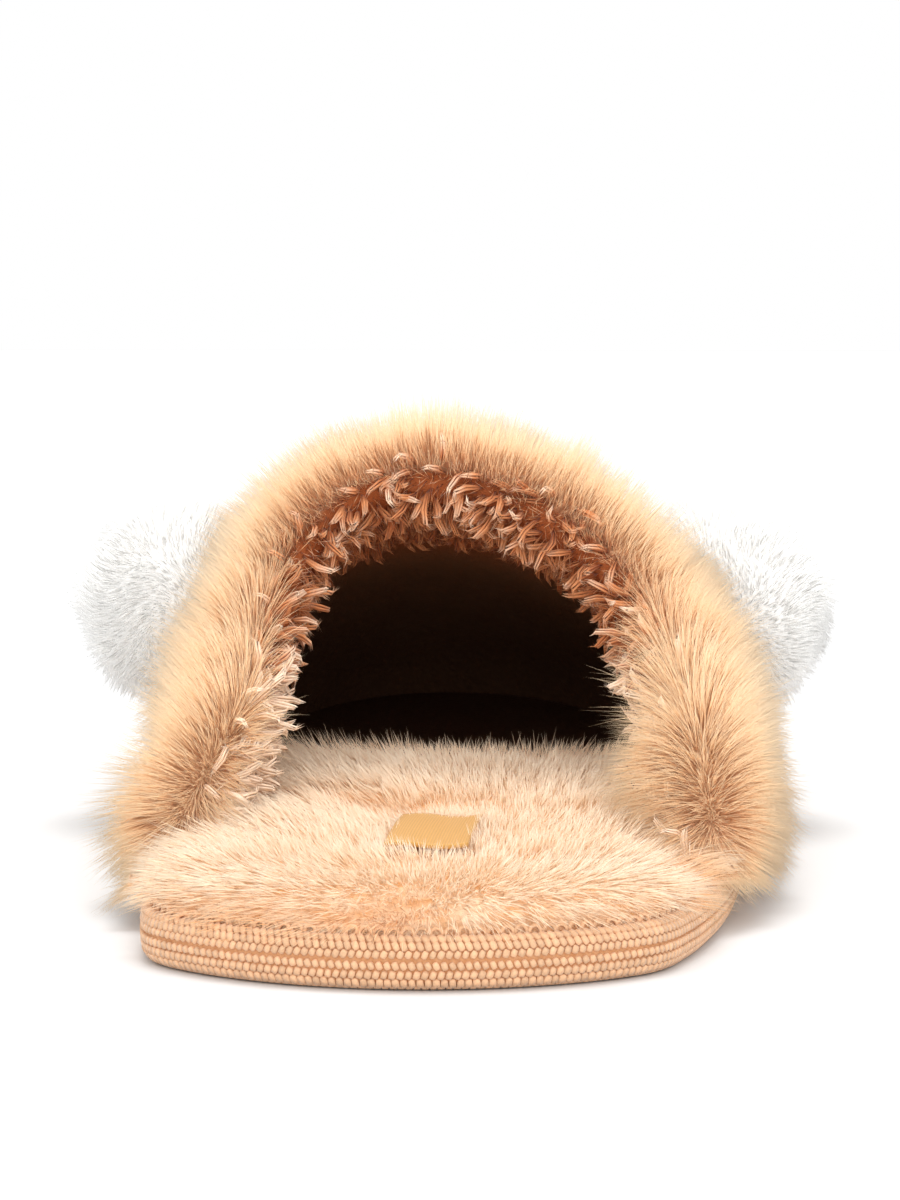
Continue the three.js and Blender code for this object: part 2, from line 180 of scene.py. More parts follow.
def smooth(t):
    """The soft step from 0 to 1."""
    t = np.clip(t, 0, 1)
    return t * t * (3 - 2 * t)


def turn_at(along):
    """The turn, from 0 at the heel to pi at the toe, of a share of the length."""
    return np.arccos(1 - 2 * np.asarray(along, float))


def fullness(rows, heel, toe):
    """A table of sizes along the length, divided by the half circle that rounds its ends."""
    made = [(turn_at(along), size / math.sin(turn_at(along))) for along, size in rows]
    if heel:
        made.insert(0, (0.0, math.sqrt(heel * HALF_LENGTH)))
    made.append((math.pi, math.sqrt(toe * HALF_LENGTH)))
    return made


MEDIAL_FULLNESS = fullness([(r[0], r[1] * r[2]) for r in SOLE_SECTIONS], HEEL_RADIUS, TOE_RADIUS)
LATERAL_FULLNESS = fullness([(r[0], r[1] * r[3]) for r in SOLE_SECTIONS], HEEL_RADIUS, TOE_RADIUS)
RIDGE_FULLNESS = fullness(
    [(along, share * INSTEP_HEIGHT - LAST_BASE) for along, share in INSTEP_SECTIONS], None, NOSE_RADIUS
)
MEDIAL_COLLAR = [(r[0], turn_at(r[1])) for r in COLLAR_SECTIONS]
LATERAL_COLLAR = [(r[0], turn_at(r[2])) for r in COLLAR_SECTIONS]


def share_of(y):
    """Share of the sole's length, from the heel."""
    return y / SOLE_LENGTH + 0.5


def swing(y):
    """How far the sole's middle line lies to the inner side."""
    return -TOE_SWING * smooth((share_of(y) - SWING_START) / (1 - SWING_START))


def lift(y):
    """The toe spring: how far the sole rises off the floor."""
    return TOE_SPRING * np.clip((share_of(y) - SPRING_START) / (1 - SPRING_START), 0, 1) ** 2


def insole_top(y):
    return INSOLE_HEIGHT * through(INSOLE_SECTIONS, share_of(y))


def half_width(turn, side, inset):
    """The sole's width from its middle line to one side, less an inset."""
    full = np.where(side < 0, through(MEDIAL_FULLNESS, turn), through(LATERAL_FULLNESS, turn))
    return np.sin(turn) * (full - inset)


def edge_points(turn, side, inset, z):
    """The sole's outline moved in by inset, at height z over the lifted floor line."""
    y = -(HALF_LENGTH - inset) * np.cos(turn)
    x = swing(y) + side * half_width(turn, side, inset)
    return np.stack([x, y, z + lift(y)], axis=-1)


def last_points(turn, around):
    """The last: around runs from -1 at the medial edge over the ridge to 1 at the lateral edge."""
    turn, around = np.broadcast_arrays(np.asarray(turn, float), np.asarray(around, float))
    side = np.where(around < 0, -1.0, 1.0)
    angle = around * math.pi / 2
    y = -(HALF_LENGTH - LAST_INSET) * np.cos(turn)
    ridge = np.sin(turn) * through(RIDGE_FULLNESS, turn)
    ease = np.where(side < 0, MEDIAL_EASE * np.sin(turn), 0.0)
    across = (half_width(turn, side, LAST_INSET) + ease) * np.abs(np.sin(angle))
    shift = APEX_SHIFT * np.sin(turn) * np.cos(angle) ** 2
    x = swing(y) + side * across - shift
    return np.stack([x, y, LAST_BASE + lift(y) + ridge * np.cos(angle)], axis=-1)


def unit(vectors):
    return vectors / np.maximum(np.linalg.norm(vectors, axis=-1, keepdims=True), 1e-12)


def last_normals(turn, around):
    """Directions out of the last."""
    step = 1e-3
    turn = np.minimum(turn, math.pi - step)
    along = last_points(turn + step, around) - last_points(turn - step, around)
    across = last_points(turn, around + step) - last_points(turn, around - step)
    return unit(np.cross(across, along))


def collar_turn(around):
    """The turn at which the collar lies."""
    down = np.abs(around)
    return np.where(around < 0, through(MEDIAL_COLLAR, down), through(LATERAL_COLLAR, down))


LABEL_MIDDLE = -HALF_LENGTH + LABEL_FROM_HEEL + LABEL_LENGTH / 2
LABEL_LOW, LABEL_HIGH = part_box("label")
# From the sole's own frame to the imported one
SHIFT = np.array(
    (
        (LABEL_LOW.x + LABEL_HIGH.x) / 2 - LABEL_TO_SIDE,
        (LABEL_LOW.y + LABEL_HIGH.y) / 2 - LABEL_MIDDLE,
        0.0,
    )
)


# Meshes


def new_object(name, mesh):
    made = bpy.data.objects.new(name, mesh)
    bpy.context.scene.collection.objects.link(made)
    return made


def mesh_of(name, points, faces, **attributes):
    """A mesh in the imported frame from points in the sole's own frame, with attributes for each point."""
    mesh = bpy.data.meshes.new(name)
    mesh.from_pydata((np.asarray(points) + SHIFT).tolist(), [], faces)
    for key, values in attributes.items():
        values = np.asarray(values, np.float32)
        if values.ndim == 2:
            mesh.attributes.new(key, "FLOAT_VECTOR", "POINT").data.foreach_set("vector", values.ravel())
        else:
            mesh.attributes.new(key, "FLOAT", "POINT").data.foreach_set("value", values)
    return mesh


def shade_smooth(mesh):
    mesh.polygons.foreach_set("use_smooth", [True] * len(mesh.polygons))
    return mesh


def tidy(mesh, join=True):
    """Turns the faces outwards; join first joins doubled points and drops what collapsed."""
    work = bmesh.new()
    work.from_mesh(mesh)
    if join:
        bmesh.ops.remove_doubles(work, verts=work.verts, dist=2e-6)
        bmesh.ops.dissolve_degenerate(work, edges=work.edges, dist=1e-6)
    bmesh.ops.recalc_face_normals(work, faces=work.faces)
    work.to_mesh(mesh)
    work.free()
    return shade_smooth(mesh)


def quads(rows, columns, wrap=False):
    """Faces of a grid of points, row after row; wrap joins the last column to the first."""
    faces = []
    for r in range(rows - 1):
        for c in range(columns if wrap else columns - 1):
            nxt = (c + 1) % columns
            faces.append((r * columns + c, r * columns + nxt, (r + 1) * columns + nxt, (r + 1) * columns + c))
    return faces


def finish_piece(piece, slot, *nodes):
    """What every piece needs: it rides on the only body and stands for its nodes. Its slot argument is not
    used.
    """
    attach(piece, "root")
    if nodes:
        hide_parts(*nodes)
    return piece


# Node trees


class Value:
    """A socket of a node tree, with Python's arithmetic on it."""

    def __init__(self, kit, socket):
        self.kit = kit
        self.socket = socket

    def __add__(self, other):
        return self.kit.maths("ADD", self, other)

    def __sub__(self, other):
        return self.kit.maths("SUBTRACT", self, other)

    def __mul__(self, other):
        return self.kit.maths("MULTIPLY", self, other)

    def __pow__(self, other):
        return self.kit.maths("POWER", self, other)

    def __rsub__(self, other):
        return self.kit.maths("SUBTRACT", other, self)

    def __rtruediv__(self, other):
        return self.kit.maths("DIVIDE", other, self)

    __radd__ = __add__
    __rmul__ = __mul__


def is_vector(value):
    if isinstance(value, Value):
        return value.socket.type in ("VECTOR", "RGBA")
    return isinstance(value, (tuple, Vector))


def pick(sockets, key):
    if isinstance(key, int):
        return sockets[key]
    return next(s for s in sockets if s.name == key and s.enabled)


class Kit:
    """Adds nodes to one tree."""

    def __init__(self, tree):
        self.tree = tree

    def node(self, kind, settings=None, inputs=None):
        made = self.tree.nodes.new(kind)
        for name, value in (settings or {}).items():
            setattr(made, name, value)
        for key, value in (inputs or {}).items():
            socket = pick(made.inputs, key)
            if isinstance(value, Value):
                self.tree.links.new(value.socket, socket)
            else:
                socket.default_value = value
        return made

    def get(self, kind, settings=None, inputs=None, output=0):
        return Value(self, pick(self.node(kind, settings, inputs).outputs, output))

    def maths(self, operation, first, second):
        if not (is_vector(first) or is_vector(second)):
            return self.get("ShaderNodeMath", {"operation": operation}, {0: first, 1: second})
        if operation == "MULTIPLY" and not is_vector(second):
            return self.get("ShaderNodeVectorMath", {"operation": "SCALE"}, {0: first, "Scale": second})
        if operation == "MULTIPLY" and not is_vector(first):
            return self.get("ShaderNodeVectorMath", {"operation": "SCALE"}, {0: second, "Scale": first})
        return self.get("ShaderNodeVectorMath", {"operation": operation}, {0: first, 1: second})

    def ramp(self, factor, *stops):
        """A colour ramp; each stop is a place and a colour."""
        made = self.node("ShaderNodeValToRGB", None, {"Fac": factor})
        elements = made.color_ramp.elements
        while len(elements) < len(stops):
            elements.new(1.0)
        for element, (place, colour) in zip(elements, stops):
            element.position = place
            element.color = (*colour, 1.0)
        return Value(self, made.outputs["Color"])

    def mix(self, factor, first, second):
        """A colour between two colours."""
        fill = [v if isinstance(v, Value) else (*v, 1.0) for v in (first, second)]
        return self.get(
            "ShaderNodeMix",
            {"data_type": "RGBA"},
            {"Factor": factor, "A": fill[0], "B": fill[1]},
            "Result",
        )

    def part(self, vector, axis):
        """One number of a vector."""
        return self.get("ShaderNodeSeparateXYZ", None, {0: vector}, axis)

    def clamp(self, value, low, high):
        """A value's place between two limits, from 0 to 1."""
        return self.get(
            "ShaderNodeMapRange",
            {"interpolation_type": "SMOOTHSTEP"},
            {"Value": value, "From Min": low, "From Max": high},
        )


# Painted glow: the piles' hair gives off a little light of its own, standing in for light that pale hair
# passes on inside a pile
PAINTED_PILE_GLOW = 0.06
# Heights below which the lining is cream, and above which it is brown
CREAM_HEIGHTS = (0.027, 0.04)
# Heights between which the painted shade deep in the toe lightens from near black to the toe shade colour
TOE_SHADE_HEIGHTS = (0.02, 0.06)


def tinted(colour, share):
    """A colour made darker or lighter, and never over white."""
    return tuple(min(1.0, v * share) for v in colour)


def new_material(name, roughness, specular=0.3, sheen=0.0, glow=None):
    material = bpy.data.materials.new(name)
    material.use_nodes = True
    tree = material.node_tree
    shader = tree.nodes["Principled BSDF"]
    shader.inputs["Roughness"].default_value = roughness
    shader.inputs["Specular IOR Level"].default_value = specular
    shader.inputs["Sheen Weight"].default_value = sheen
    # glow: a painted glow, emission in the pile's own colour that lifts its shaded parts
    if glow:
        shader.inputs["Emission Color"].default_value = (*glow, 1.0)
        shader.inputs["Emission Strength"].default_value = PAINTED_PILE_GLOW
    return material, Kit(tree), shader


def feed(kit, shader, name, value):
    kit.tree.links.new(value.socket, shader.inputs[name])


def object_place(kit):
    return kit.get("ShaderNodeTexCoord", output="Object")


def attribute(kit, name, output="Fac"):
    return kit.get("ShaderNodeAttribute", {"attribute_name": name}, output=output)


def noise(kit, place, per_metre, detail=2.0):
    return kit.get(
        "ShaderNodeTexNoise",
        None,
        {"Vector": place, "Scale": per_metre, "Detail": detail, "Roughness": 0.55},
        "Fac",
    )


def bump(kit, height, strength, distance):
    return kit.get(
        "ShaderNodeBump", None, {"Height": height, "Strength": strength, "Distance": distance}, "Normal"
    )


def fur_material(name, root, body, tip, depth):
    """Hair that is darker at its root, with painted shade in dents and creases, a tone of its own and broad
    patches, and a painted glow of its body colour.
    The root's colour reaches less far up with a greater depth."""
    material, kit, shader = new_material(name, 0.8, 0.1, 0.1, tuple(body))
    along = attribute(kit, "along")
    shade = attribute(kit, "shade")
    patch = noise(kit, attribute(kit, "root", "Vector"), 55.0)
    # Darker where the pile lies in dents and creases or on shaded edges: painted shade
    tone = (shade - 0.5) * 0.16 + (patch - 0.5) * 0.5 - attribute(kit, "dent") * 0.38
    place = along * (1 - depth) + depth * 0.8 + tone
    feed(kit, shader, "Base Color", kit.ramp(place, (0.0, root), (0.5, body), (1.0, tip)))
    return material


def plush_skin_material(name, deep, light, toe_shade_colour=None, woolly=None):
    """The dense ground of a pile: painted shade deep in the toe where its inside attribute says so, near
    black low down, and wool where woolly says so.
    """
    material, kit, shader = new_material(name, 0.85, 0.1)
    place = object_place(kit)
    grain = noise(kit, place, 900.0, 3.0)
    colour = kit.ramp(noise(kit, place, 220.0, 3.0), (0.3, deep), (0.7, light))
    height = kit.part(place, "Z")
    if woolly:
        wool = kit.mix(kit.clamp(height, *CREAM_HEIGHTS), light, woolly)
        colour = kit.mix(attribute(kit, "woolly"), colour, wool)
    if toe_shade_colour:
        # Painted shade deep in the toe, darkest low down
        painted_toe_shade = kit.mix(kit.clamp(height, *TOE_SHADE_HEIGHTS), tinted(toe_shade_colour, 0.2), toe_shade_colour)
        colour = kit.mix(attribute(kit, "inside"), colour, painted_toe_shade)
    feed(kit, shader, "Base Color", colour)
    feed(kit, shader, "Normal", bump(kit, grain, 0.8, 0.001))
    return material


# Piles: hairs set on a surface by Geometry Nodes


def down_shape():
    """One straight, fine hair, 1 high and 1 wide: a foot of three and a tip."""
    points = [(0.5, 0, 0), (-0.25, 0.43, 0), (-0.25, -0.43, 0), (0, 0, 1)]
    faces = [(0, 2, 1), (0, 1, 3), (1, 2, 3), (2, 0, 3)]
    return shape_object("down_shape", points, faces, [p[2] for p in points])


def hair_shape():
    """One bent hair, 1 high and 1 wide: a root, a wider bend and a tip."""
    points = [(0, 0, 0), (0.5, 0, 0.45), (-0.25, 0.43, 0.4), (0, 0, 1), (-0.25, -0.43, 0.4)]
    faces = [(0, 2, 1), (0, 4, 2), (0, 1, 4), (1, 2, 3), (2, 4, 3), (4, 1, 3)]
    return shape_object("hair_shape", points, faces, [p[2] for p in points])


def lock_shape():
    """One lock of wool, 1 long: strands that swell, curl over together and end in points."""
    strands, sides = 4, 3
    # Columns: place along the lock, how far it has curled over, strands' distance, strand's half width
    sections = (
        (0.2, 0.0, 0.045, 0.04),
        (0.55, 0.07, 0.07, 0.052),
        (0.84, 0.26, 0.05, 0.04),
    )
    points, faces, heights = [], [], []
    for strand in range(strands):
        lean = 2 * math.pi * (strand + 0.3) / strands
        first = len(points)
        points.append((0, 0, 0))
        heights.append(0.0)
        for t, curled, apart, wide in sections:
            for s in range(sides):
                a = 2 * math.pi * s / sides
                x = apart * math.cos(lean) + wide * math.cos(a)
                points.append((x, curled + apart * math.sin(lean) + wide * math.sin(a), t))
                heights.append(t)
        points.append((0.03 * math.cos(lean), 0.52 + 0.06 * math.sin(lean), 0.9 - 0.05 * strand))
        heights.append(1.0)
        faces += [(first, first + 1 + (s + 1) % sides, first + 1 + s) for s in range(sides)]
        for r in range(len(sections) - 1):
            for s in range(sides):
                a, b = first + 1 + r * sides + s, first + 1 + r * sides + (s + 1) % sides
                faces.append((a, b, b + sides, a + sides))
        last = first + 1 + (len(sections) - 1) * sides
        faces += [(last + s, last + (s + 1) % sides, len(points) - 1) for s in range(sides)]
    return shape_object("lock_shape", points, faces, heights)


def shape_object(name, points, faces, along):
    """A small shape that the trees repeat, with each point's place from its root (0) to its tip (1)."""
    mesh = bpy.data.meshes.new(name)
    mesh.from_pydata(points, [], faces)
    mesh.attributes.new("along", "FLOAT", "POINT").data.foreach_set("value", along)
    return new_object(name, tidy(mesh, join=False))


# Inputs of the pile's tree, in the words of grow's arguments
PILE_SIZES = (
    "Per Square Metre", "Length", "Length Spread", "Width", "Stray", "Clump Size", "Clump Pull", "Clump Lean",
    "Sway", "Sway Scale", "Frizz", "Bend",
)
PILE_INPUTS = (
    ("Shape", "NodeSocketObject"),
    *((size, "NodeSocketFloat") for size in PILE_SIZES),
    ("Bare Middle", "NodeSocketVector"),
    ("Bare Half Size", "NodeSocketVector"),
    ("Seed", "NodeSocketInt"),
    ("Material", "NodeSocketMaterial"),
)
SCATTER_INPUTS = (("Shape", "NodeSocketObject"), ("Material", "NodeSocketMaterial"))
# Lowest place of a hair over the floor
HAIR_OVER_FLOOR = 0.0006


def new_tree(name, inputs):
    tree = bpy.data.node_groups.new(name, "GeometryNodeTree")
    for socket, kind in (("Geometry", "NodeSocketGeometry"), *inputs):
        tree.interface.new_socket(socket, in_out="INPUT", socket_type=kind)
    tree.interface.new_socket("Geometry", in_out="OUTPUT", socket_type="NodeSocketGeometry")
    kit = Kit(tree)
    inlet = kit.node("NodeGroupInput")
    return tree, kit, {s.name: Value(kit, s) for s in inlet.outputs if s.name}


def realized(kit, points, given, rotation, scale):
    """The given shape set on points, as real geometry."""
    shape = kit.get("GeometryNodeObjectInfo", None, {"Object": given["Shape"]}, "Geometry")
    placed = kit.get(
        "GeometryNodeInstanceOnPoints",
        None,
        {"Points": points, "Instance": shape, "Rotation": rotation, "Scale": scale},
        "Instances",
    )
    return kit.get("GeometryNodeRealizeInstances", None, {"Geometry": placed}, "Geometry")


def close_tree(tree, kit, geometry, given):
    """Gives the geometry its material and leads it out of the tree."""
    made = kit.get(
        "GeometryNodeSetMaterial", None, {"Geometry": geometry, "Material": given["Material"]}, "Geometry"
    )
    outlet = kit.node("NodeGroupOutput")
    tree.links.new(made.socket, outlet.inputs[0])
    return tree


def moved(kit, geometry, offset):
    return kit.get("GeometryNodeSetPosition", None, {"Geometry": geometry, "Offset": offset}, "Geometry")


def unrest(kit, place, scale):
    """A soft random vector at a place, about half in each direction."""
    made = kit.get("ShaderNodeTexNoise", None, {"Vector": place, "Scale": scale, "Detail": 1.0}, "Color")
    return made - (0.5, 0.5, 0.5)


def named(kit, name, kind="FLOAT_VECTOR"):
    return kit.get("GeometryNodeInputNamedAttribute", {"data_type": kind}, {"Name": name}, "Attribute")


def stored(kit, geometry, name, value, kind):
    return kit.get(
        "GeometryNodeStoreNamedAttribute",
        {"data_type": kind, "domain": "POINT"},
        {"Geometry": geometry, "Name": name, "Value": value},
        "Geometry",
    )


def random_value(kit, kind, low, high, seed):
    return kit.get(
        "FunctionNodeRandomValue", {"data_type": kind}, {"Min": low, "Max": high, "Seed": seed}, "Value"
    )


def pile_tree():
    """Sets hairs on a surface along its comb attribute, draws their tips into clumps and bends them."""
    tree, kit, given = new_tree("pile", PILE_INPUTS)
    seed = given["Seed"]
    scattered = kit.node(
        "GeometryNodeDistributePointsOnFaces",
        {"distribute_method": "RANDOM"},
        {
            "Mesh": given["Geometry"],
            "Density": named(kit, "density", "FLOAT") * given["Per Square Metre"],
            "Seed": seed,
        },
    )
    points = Value(kit, pick(scattered.outputs, "Points"))
    place = kit.get("GeometryNodeInputPosition")
    away = kit.get("ShaderNodeVectorMath", {"operation": "ABSOLUTE"}, {0: place - given["Bare Middle"]})
    inside = given["Bare Half Size"] - away
    both = kit.maths("MINIMUM", kit.part(inside, "X"), kit.part(inside, "Y"))
    bare = kit.get("FunctionNodeCompare", {"operation": "GREATER_THAN"}, {"A": both, "B": 0.0}, "Result")
    points = kit.get(
        "GeometryNodeDeleteGeometry", {"domain": "POINT"}, {"Geometry": points, "Selection": bare}, "Geometry"
    )
    points = stored(kit, points, "root", place, "FLOAT_VECTOR")
    points = stored(kit, points, "shade", random_value(kit, "FLOAT", 0.0, 1.0, seed + 1), "FLOAT")
    wild = random_value(kit, "FLOAT_VECTOR", (-1.0,) * 3, (1.0,) * 3, seed + 2)
    spin = random_value(kit, "FLOAT_VECTOR", (0.0,) * 3, (0.0, 0.0, 2 * math.pi), seed + 3)
    turned = kit.get(
        "FunctionNodeAlignRotationToVector",
        {"axis": "Z"},
        {"Rotation": spin, "Vector": named(kit, "comb") + wild * given["Stray"]},
        "Rotation",
    )
    spread = random_value(kit, "FLOAT", -1.0, 1.0, seed + 4) * given["Length Spread"] + 1.0
    long = given["Length"] * spread * named(kit, "reach", "FLOAT")
    size = kit.get("ShaderNodeCombineXYZ", None, {"X": given["Width"], "Y": given["Width"], "Z": long})
    hairs = realized(kit, points, given, turned, size)
    root = named(kit, "root")
    along = named(kit, "along", "FLOAT")
    cell = kit.get(
        "ShaderNodeTexVoronoi",
        {"voronoi_dimensions": "3D"},
        {"Vector": root, "Scale": 1.0 / given["Clump Size"], "Randomness": 1.0},
        "Position",
    )
    gather = (cell - root) * (given["Clump Pull"] * along ** 1.5)
    leaning = unrest(kit, root, given["Sway Scale"]) * (given["Sway"] * along ** 1.3)
    wisps = unrest(kit, cell, 300.0) * (given["Clump Lean"] * along ** 1.5)
    frizz = unrest(kit, root, 600.0) * (given["Frizz"] * along * along)
    bend = named(kit, "bend") * (given["Bend"] * along * along)
    hairs = moved(kit, hairs, gather + leaning + wisps + frizz + bend)
    sunk = kit.maths("MAXIMUM", HAIR_OVER_FLOOR - kit.part(place, "Z"), 0.0)
    hairs = moved(kit, hairs, kit.get("ShaderNodeCombineXYZ", None, {"Z": sunk}))
    return close_tree(tree, kit, hairs, given)


def grow(name, emitter, shape, material, tree, **sizes):
    """Runs a node tree on an emitter and keeps the result as a plain mesh."""
    modifier = emitter.modifiers.new("grow", "NODES")
    modifier.node_group = tree
    values = {"Shape": shape, "Material": material}
    values.update({key.replace("_", " ").title(): value for key, value in sizes.items()})
    for item in tree.interface.items_tree:
        if item.in_out == "INPUT" and item.name in values:
            modifier[item.identifier] = values[item.name]
    emitter.update_tag()
    graph = bpy.context.evaluated_depsgraph_get()
    mesh = bpy.data.meshes.new_from_object(emitter.evaluated_get(graph))
    mesh.name = name
    made = new_object(name, mesh)
    emitter.modifiers.remove(modifier)
    bpy.data.objects.remove(emitter)
    shade_smooth(mesh)
    return made


def scatter_tree():
    """Sets a shape on each point of a mesh, turned and sized by the point's own attributes."""
    tree, kit, given = new_tree("scatter", SCATTER_INPUTS)
    made = realized(kit, given["Geometry"], given, named(kit, "turned"), named(kit, "size"))
    return close_tree(tree, kit, made, given)


# The upper's skin, the surface that the piles stand on

SKIN_THICKNESS = 0.0096
SKIN_ROLL = 0.0055
SKIN_UNREST = 0.0015
LATERAL_PADDING = 0.0026
SKIN_COLUMNS = 121
SKIN_ROWS = 64
SKIN_RIM = 12
SKIN_FLOOR = BINDING_HEIGHT + 0.0004
# Shares of the skin's rows, from the rim: the fur of the collar outside, and the lining inside
COLLAR_SHARE = 0.12
LINING_SHARE = 0.2
# Columns: from the ridge (0) down to the sole (1), rows of the rim that belong to the fur
RIM_FURRED = (
    (0.0, 6.0),
    (0.45, 6.4),
    (0.62, 7.4),
    (0.78, 10.0),
    (1.0, 10.6),
)
# Depth that counts as one dent
FULL_DENT = 0.0026
# Dents pressed into the fur: place, reach and depth
# Their depth also darkens the fur's colour, as painted shade in the dents
FUR_DENTS = (
    ((-0.0500, -0.0560, 0.034), 0.0085, 0.0022),
    ((-0.0430, -0.0300, 0.052), 0.0070, 0.0014),
    ((-0.0180, -0.0080, 0.070), 0.0080, 0.0008),
    ((0.0450, -0.0340, 0.044), 0.0080, 0.0022),
    ((0.0420, -0.0240, 0.050), 0.0070, 0.0014),
    ((0.0160, -0.0040, 0.071), 0.0060, 0.0008),
    ((0.0520, -0.0660, 0.018), 0.0080, 0.0010),
    ((-0.0500, -0.0700, 0.016), 0.0070, 0.0014),
)


def lumps(points, wave, seed):
    """A soft, even unrest from -1 to 1, with lumps about a wave apart."""
    rng = np.random.default_rng(seed)
    total = np.zeros(points.shape[:-1])
    for _ in range(7):
        direction = unit(rng.normal(size=3)) * 2 * math.pi / (wave * rng.uniform(0.7, 1.5))
        total += np.sin(points @ direction + rng.uniform(0, 2 * math.pi))
    return total / 7 ** 0.5 / 1.5


def dents_at(points, dents):
    """How deep points lie in a set of soft dents, 0 to about 1."""
    deep = np.zeros(points.shape[:-1])
    for place, reach, depth in dents:
        away = np.linalg.norm(points - np.array(place), axis=-1)
        deep += depth / FULL_DENT * np.exp(-((away / reach) ** 2))
    return deep


class Skin:
    """The upper's wall as a grid. Each column runs from the toe outside to the collar, over its lip and
    back inside; fur_end is the row at which its fur ends and its lining starts."""

    def __init__(self):
        around = np.linspace(-1, 1, SKIN_COLUMNS)
        start = collar_turn(around)
        share = np.linspace(0, 1, SKIN_ROWS + 1)
        turn = start[:, None] + (math.pi - start)[:, None] * share[None, :]
        wide = np.repeat(around[:, None], SKIN_ROWS + 1, axis=1)
        base = last_points(turn, wide)
        normal = last_normals(turn, wide)
        outer = (base + normal * SKIN_THICKNESS)[:, ::-1]
        rim = []
        back = unit(last_points(start - 1e-3, around) - last_points(start, around))
        for k in range(1, SKIN_RIM):
            angle = math.pi * k / SKIN_RIM
            out = SKIN_THICKNESS / 2 * (1 + math.cos(angle))
            roll = SKIN_ROLL * (1 + 0.7 * smooth((np.abs(around) - 0.45) / 0.35))
            rim.append(base[:, 0] + normal[:, 0] * out + back * (roll * math.sin(angle))[:, None])
        self.points = np.concatenate([outer, np.stack(rim, axis=1), base], axis=1)
        # Depth in the dents: it presses the skin in and also darkens the fur's colour as painted shade
        self.dent = dents_at(self.points, FUR_DENTS)
        floor = SKIN_FLOOR + lift(self.points[..., 1])
        self.points[..., 2] = np.maximum(self.points[..., 2], floor)
        self.length = self.points.shape[1]
        self.collar_at = SKIN_ROWS
        self.inner_at = SKIN_ROWS + SKIN_RIM
        self.around = np.repeat(around[:, None], self.length, axis=1)
        inside_share = np.clip((np.arange(self.length) - self.inner_at) / SKIN_ROWS, 0, 1)
        self.inside = np.repeat(inside_share[None, :], SKIN_COLUMNS, axis=0)
        ahead = np.roll(self.points, 1, axis=1)
        behind = np.roll(self.points, -1, axis=1)
        ahead[:, 0] = self.points[:, 0]
        behind[:, -1] = self.points[:, -1]
        self.flow = unit(ahead - behind)
        side = np.gradient(self.points, axis=0)
        self.normal = unit(np.cross(side, ahead - behind))
        furred = np.arange(self.length) < self.inner_at
        swell = lumps(self.points, 0.02, 5) * SKIN_UNREST - self.dent * 0.002
        self.points += self.normal * (swell * furred[None, :])[..., None]
        near_rim = np.exp(-(((np.arange(self.length) - self.inner_at - 2) / 9) ** 2))
        padded = LATERAL_PADDING * smooth((self.around - 0.35) / 0.3) * near_rim[None, :]
        self.points += self.normal * padded[..., None]
        self.fall = np.zeros_like(self.points)
        self.fall[..., 2] = -np.abs(self.around) ** 1.5
        self.across = unit(side)
        self.row = np.repeat(np.arange(self.length, dtype=float)[None, :], SKIN_COLUMNS, axis=0)
        self.fur_end = self.collar_at + through(RIM_FURRED, np.abs(self.around))

    def comb(self, out, onward, down):
        """Hair direction: out of the surface, on towards the toe, and down on the sides."""
        return unit(self.normal * out + self.flow * onward + self.fall * down)

    def emitter(self, name, columns, rows, comb, density, reach, dent):
        """The part of the skin between two columns and two rows, with what the pile needs to know."""
        part = (slice(columns[0], columns[1] + 1), slice(rows[0], rows[1] + 1))
        mesh = mesh_of(
            name,
            self.points[part].reshape(-1, 3),
            quads(columns[1] - columns[0] + 1, rows[1] - rows[0] + 1),
            comb=comb[part].reshape(-1, 3),
            bend=unit(self.flow + self.fall)[part].reshape(-1, 3),
            density=density[part].ravel(),
            reach=reach[part].ravel(),
            dent=dent[part].ravel(),
        )
        return new_object(name, mesh)

    def closed_mesh(self, name):
        """The whole wall, closed where it stands on the sole."""
        faces = quads(SKIN_COLUMNS, self.length)
        middle = self.length // 2
        for column, turned in ((0, False), (SKIN_COLUMNS - 1, True)):
            first = column * self.length
            for i in range(middle):
                ring = (i, i + 1, self.length - 2 - i, self.length - 1 - i)
                ring = [first + k for k in dict.fromkeys(ring)]
                faces.append(tuple(reversed(ring)) if turned else tuple(ring))
        woolly = smooth((self.row - self.fur_end) / 2 + 1)
        # inside: where the painted shade deep in the toe lies
        return mesh_of(
            name, self.points.reshape(-1, 3), faces, inside=smooth(self.inside.ravel() * 5 - 0.9),
            woolly=woolly.ravel(),
        )


def pompom_places():
    """Middle and radius of each pompom, read from its solid."""
    places = {}
    for node in ("pompom_medial", "pompom_lateral"):
        low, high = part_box(node)
        radius = (high.y - low.y) / 2
        middle = np.array(((low.x + high.x) / 2, (low.y + high.y) / 2, (low.z + high.z) / 2))
        outward = -1 if node == "pompom_medial" else 1
        middle[0] = (low.x if outward < 0 else high.x) - outward * radius
        places[node] = (middle, radius)
    return places


POMPOMS = pompom_places()


def off_pompoms(points, margin):
    """1 where points are clear of the pompoms, 0 inside them."""
    free = np.ones(points.shape[:-1])
    for middle, radius in POMPOMS.values():
        free *= np.linalg.norm(points + SHIFT - middle, axis=-1) > radius - margin
    return free


# Settings


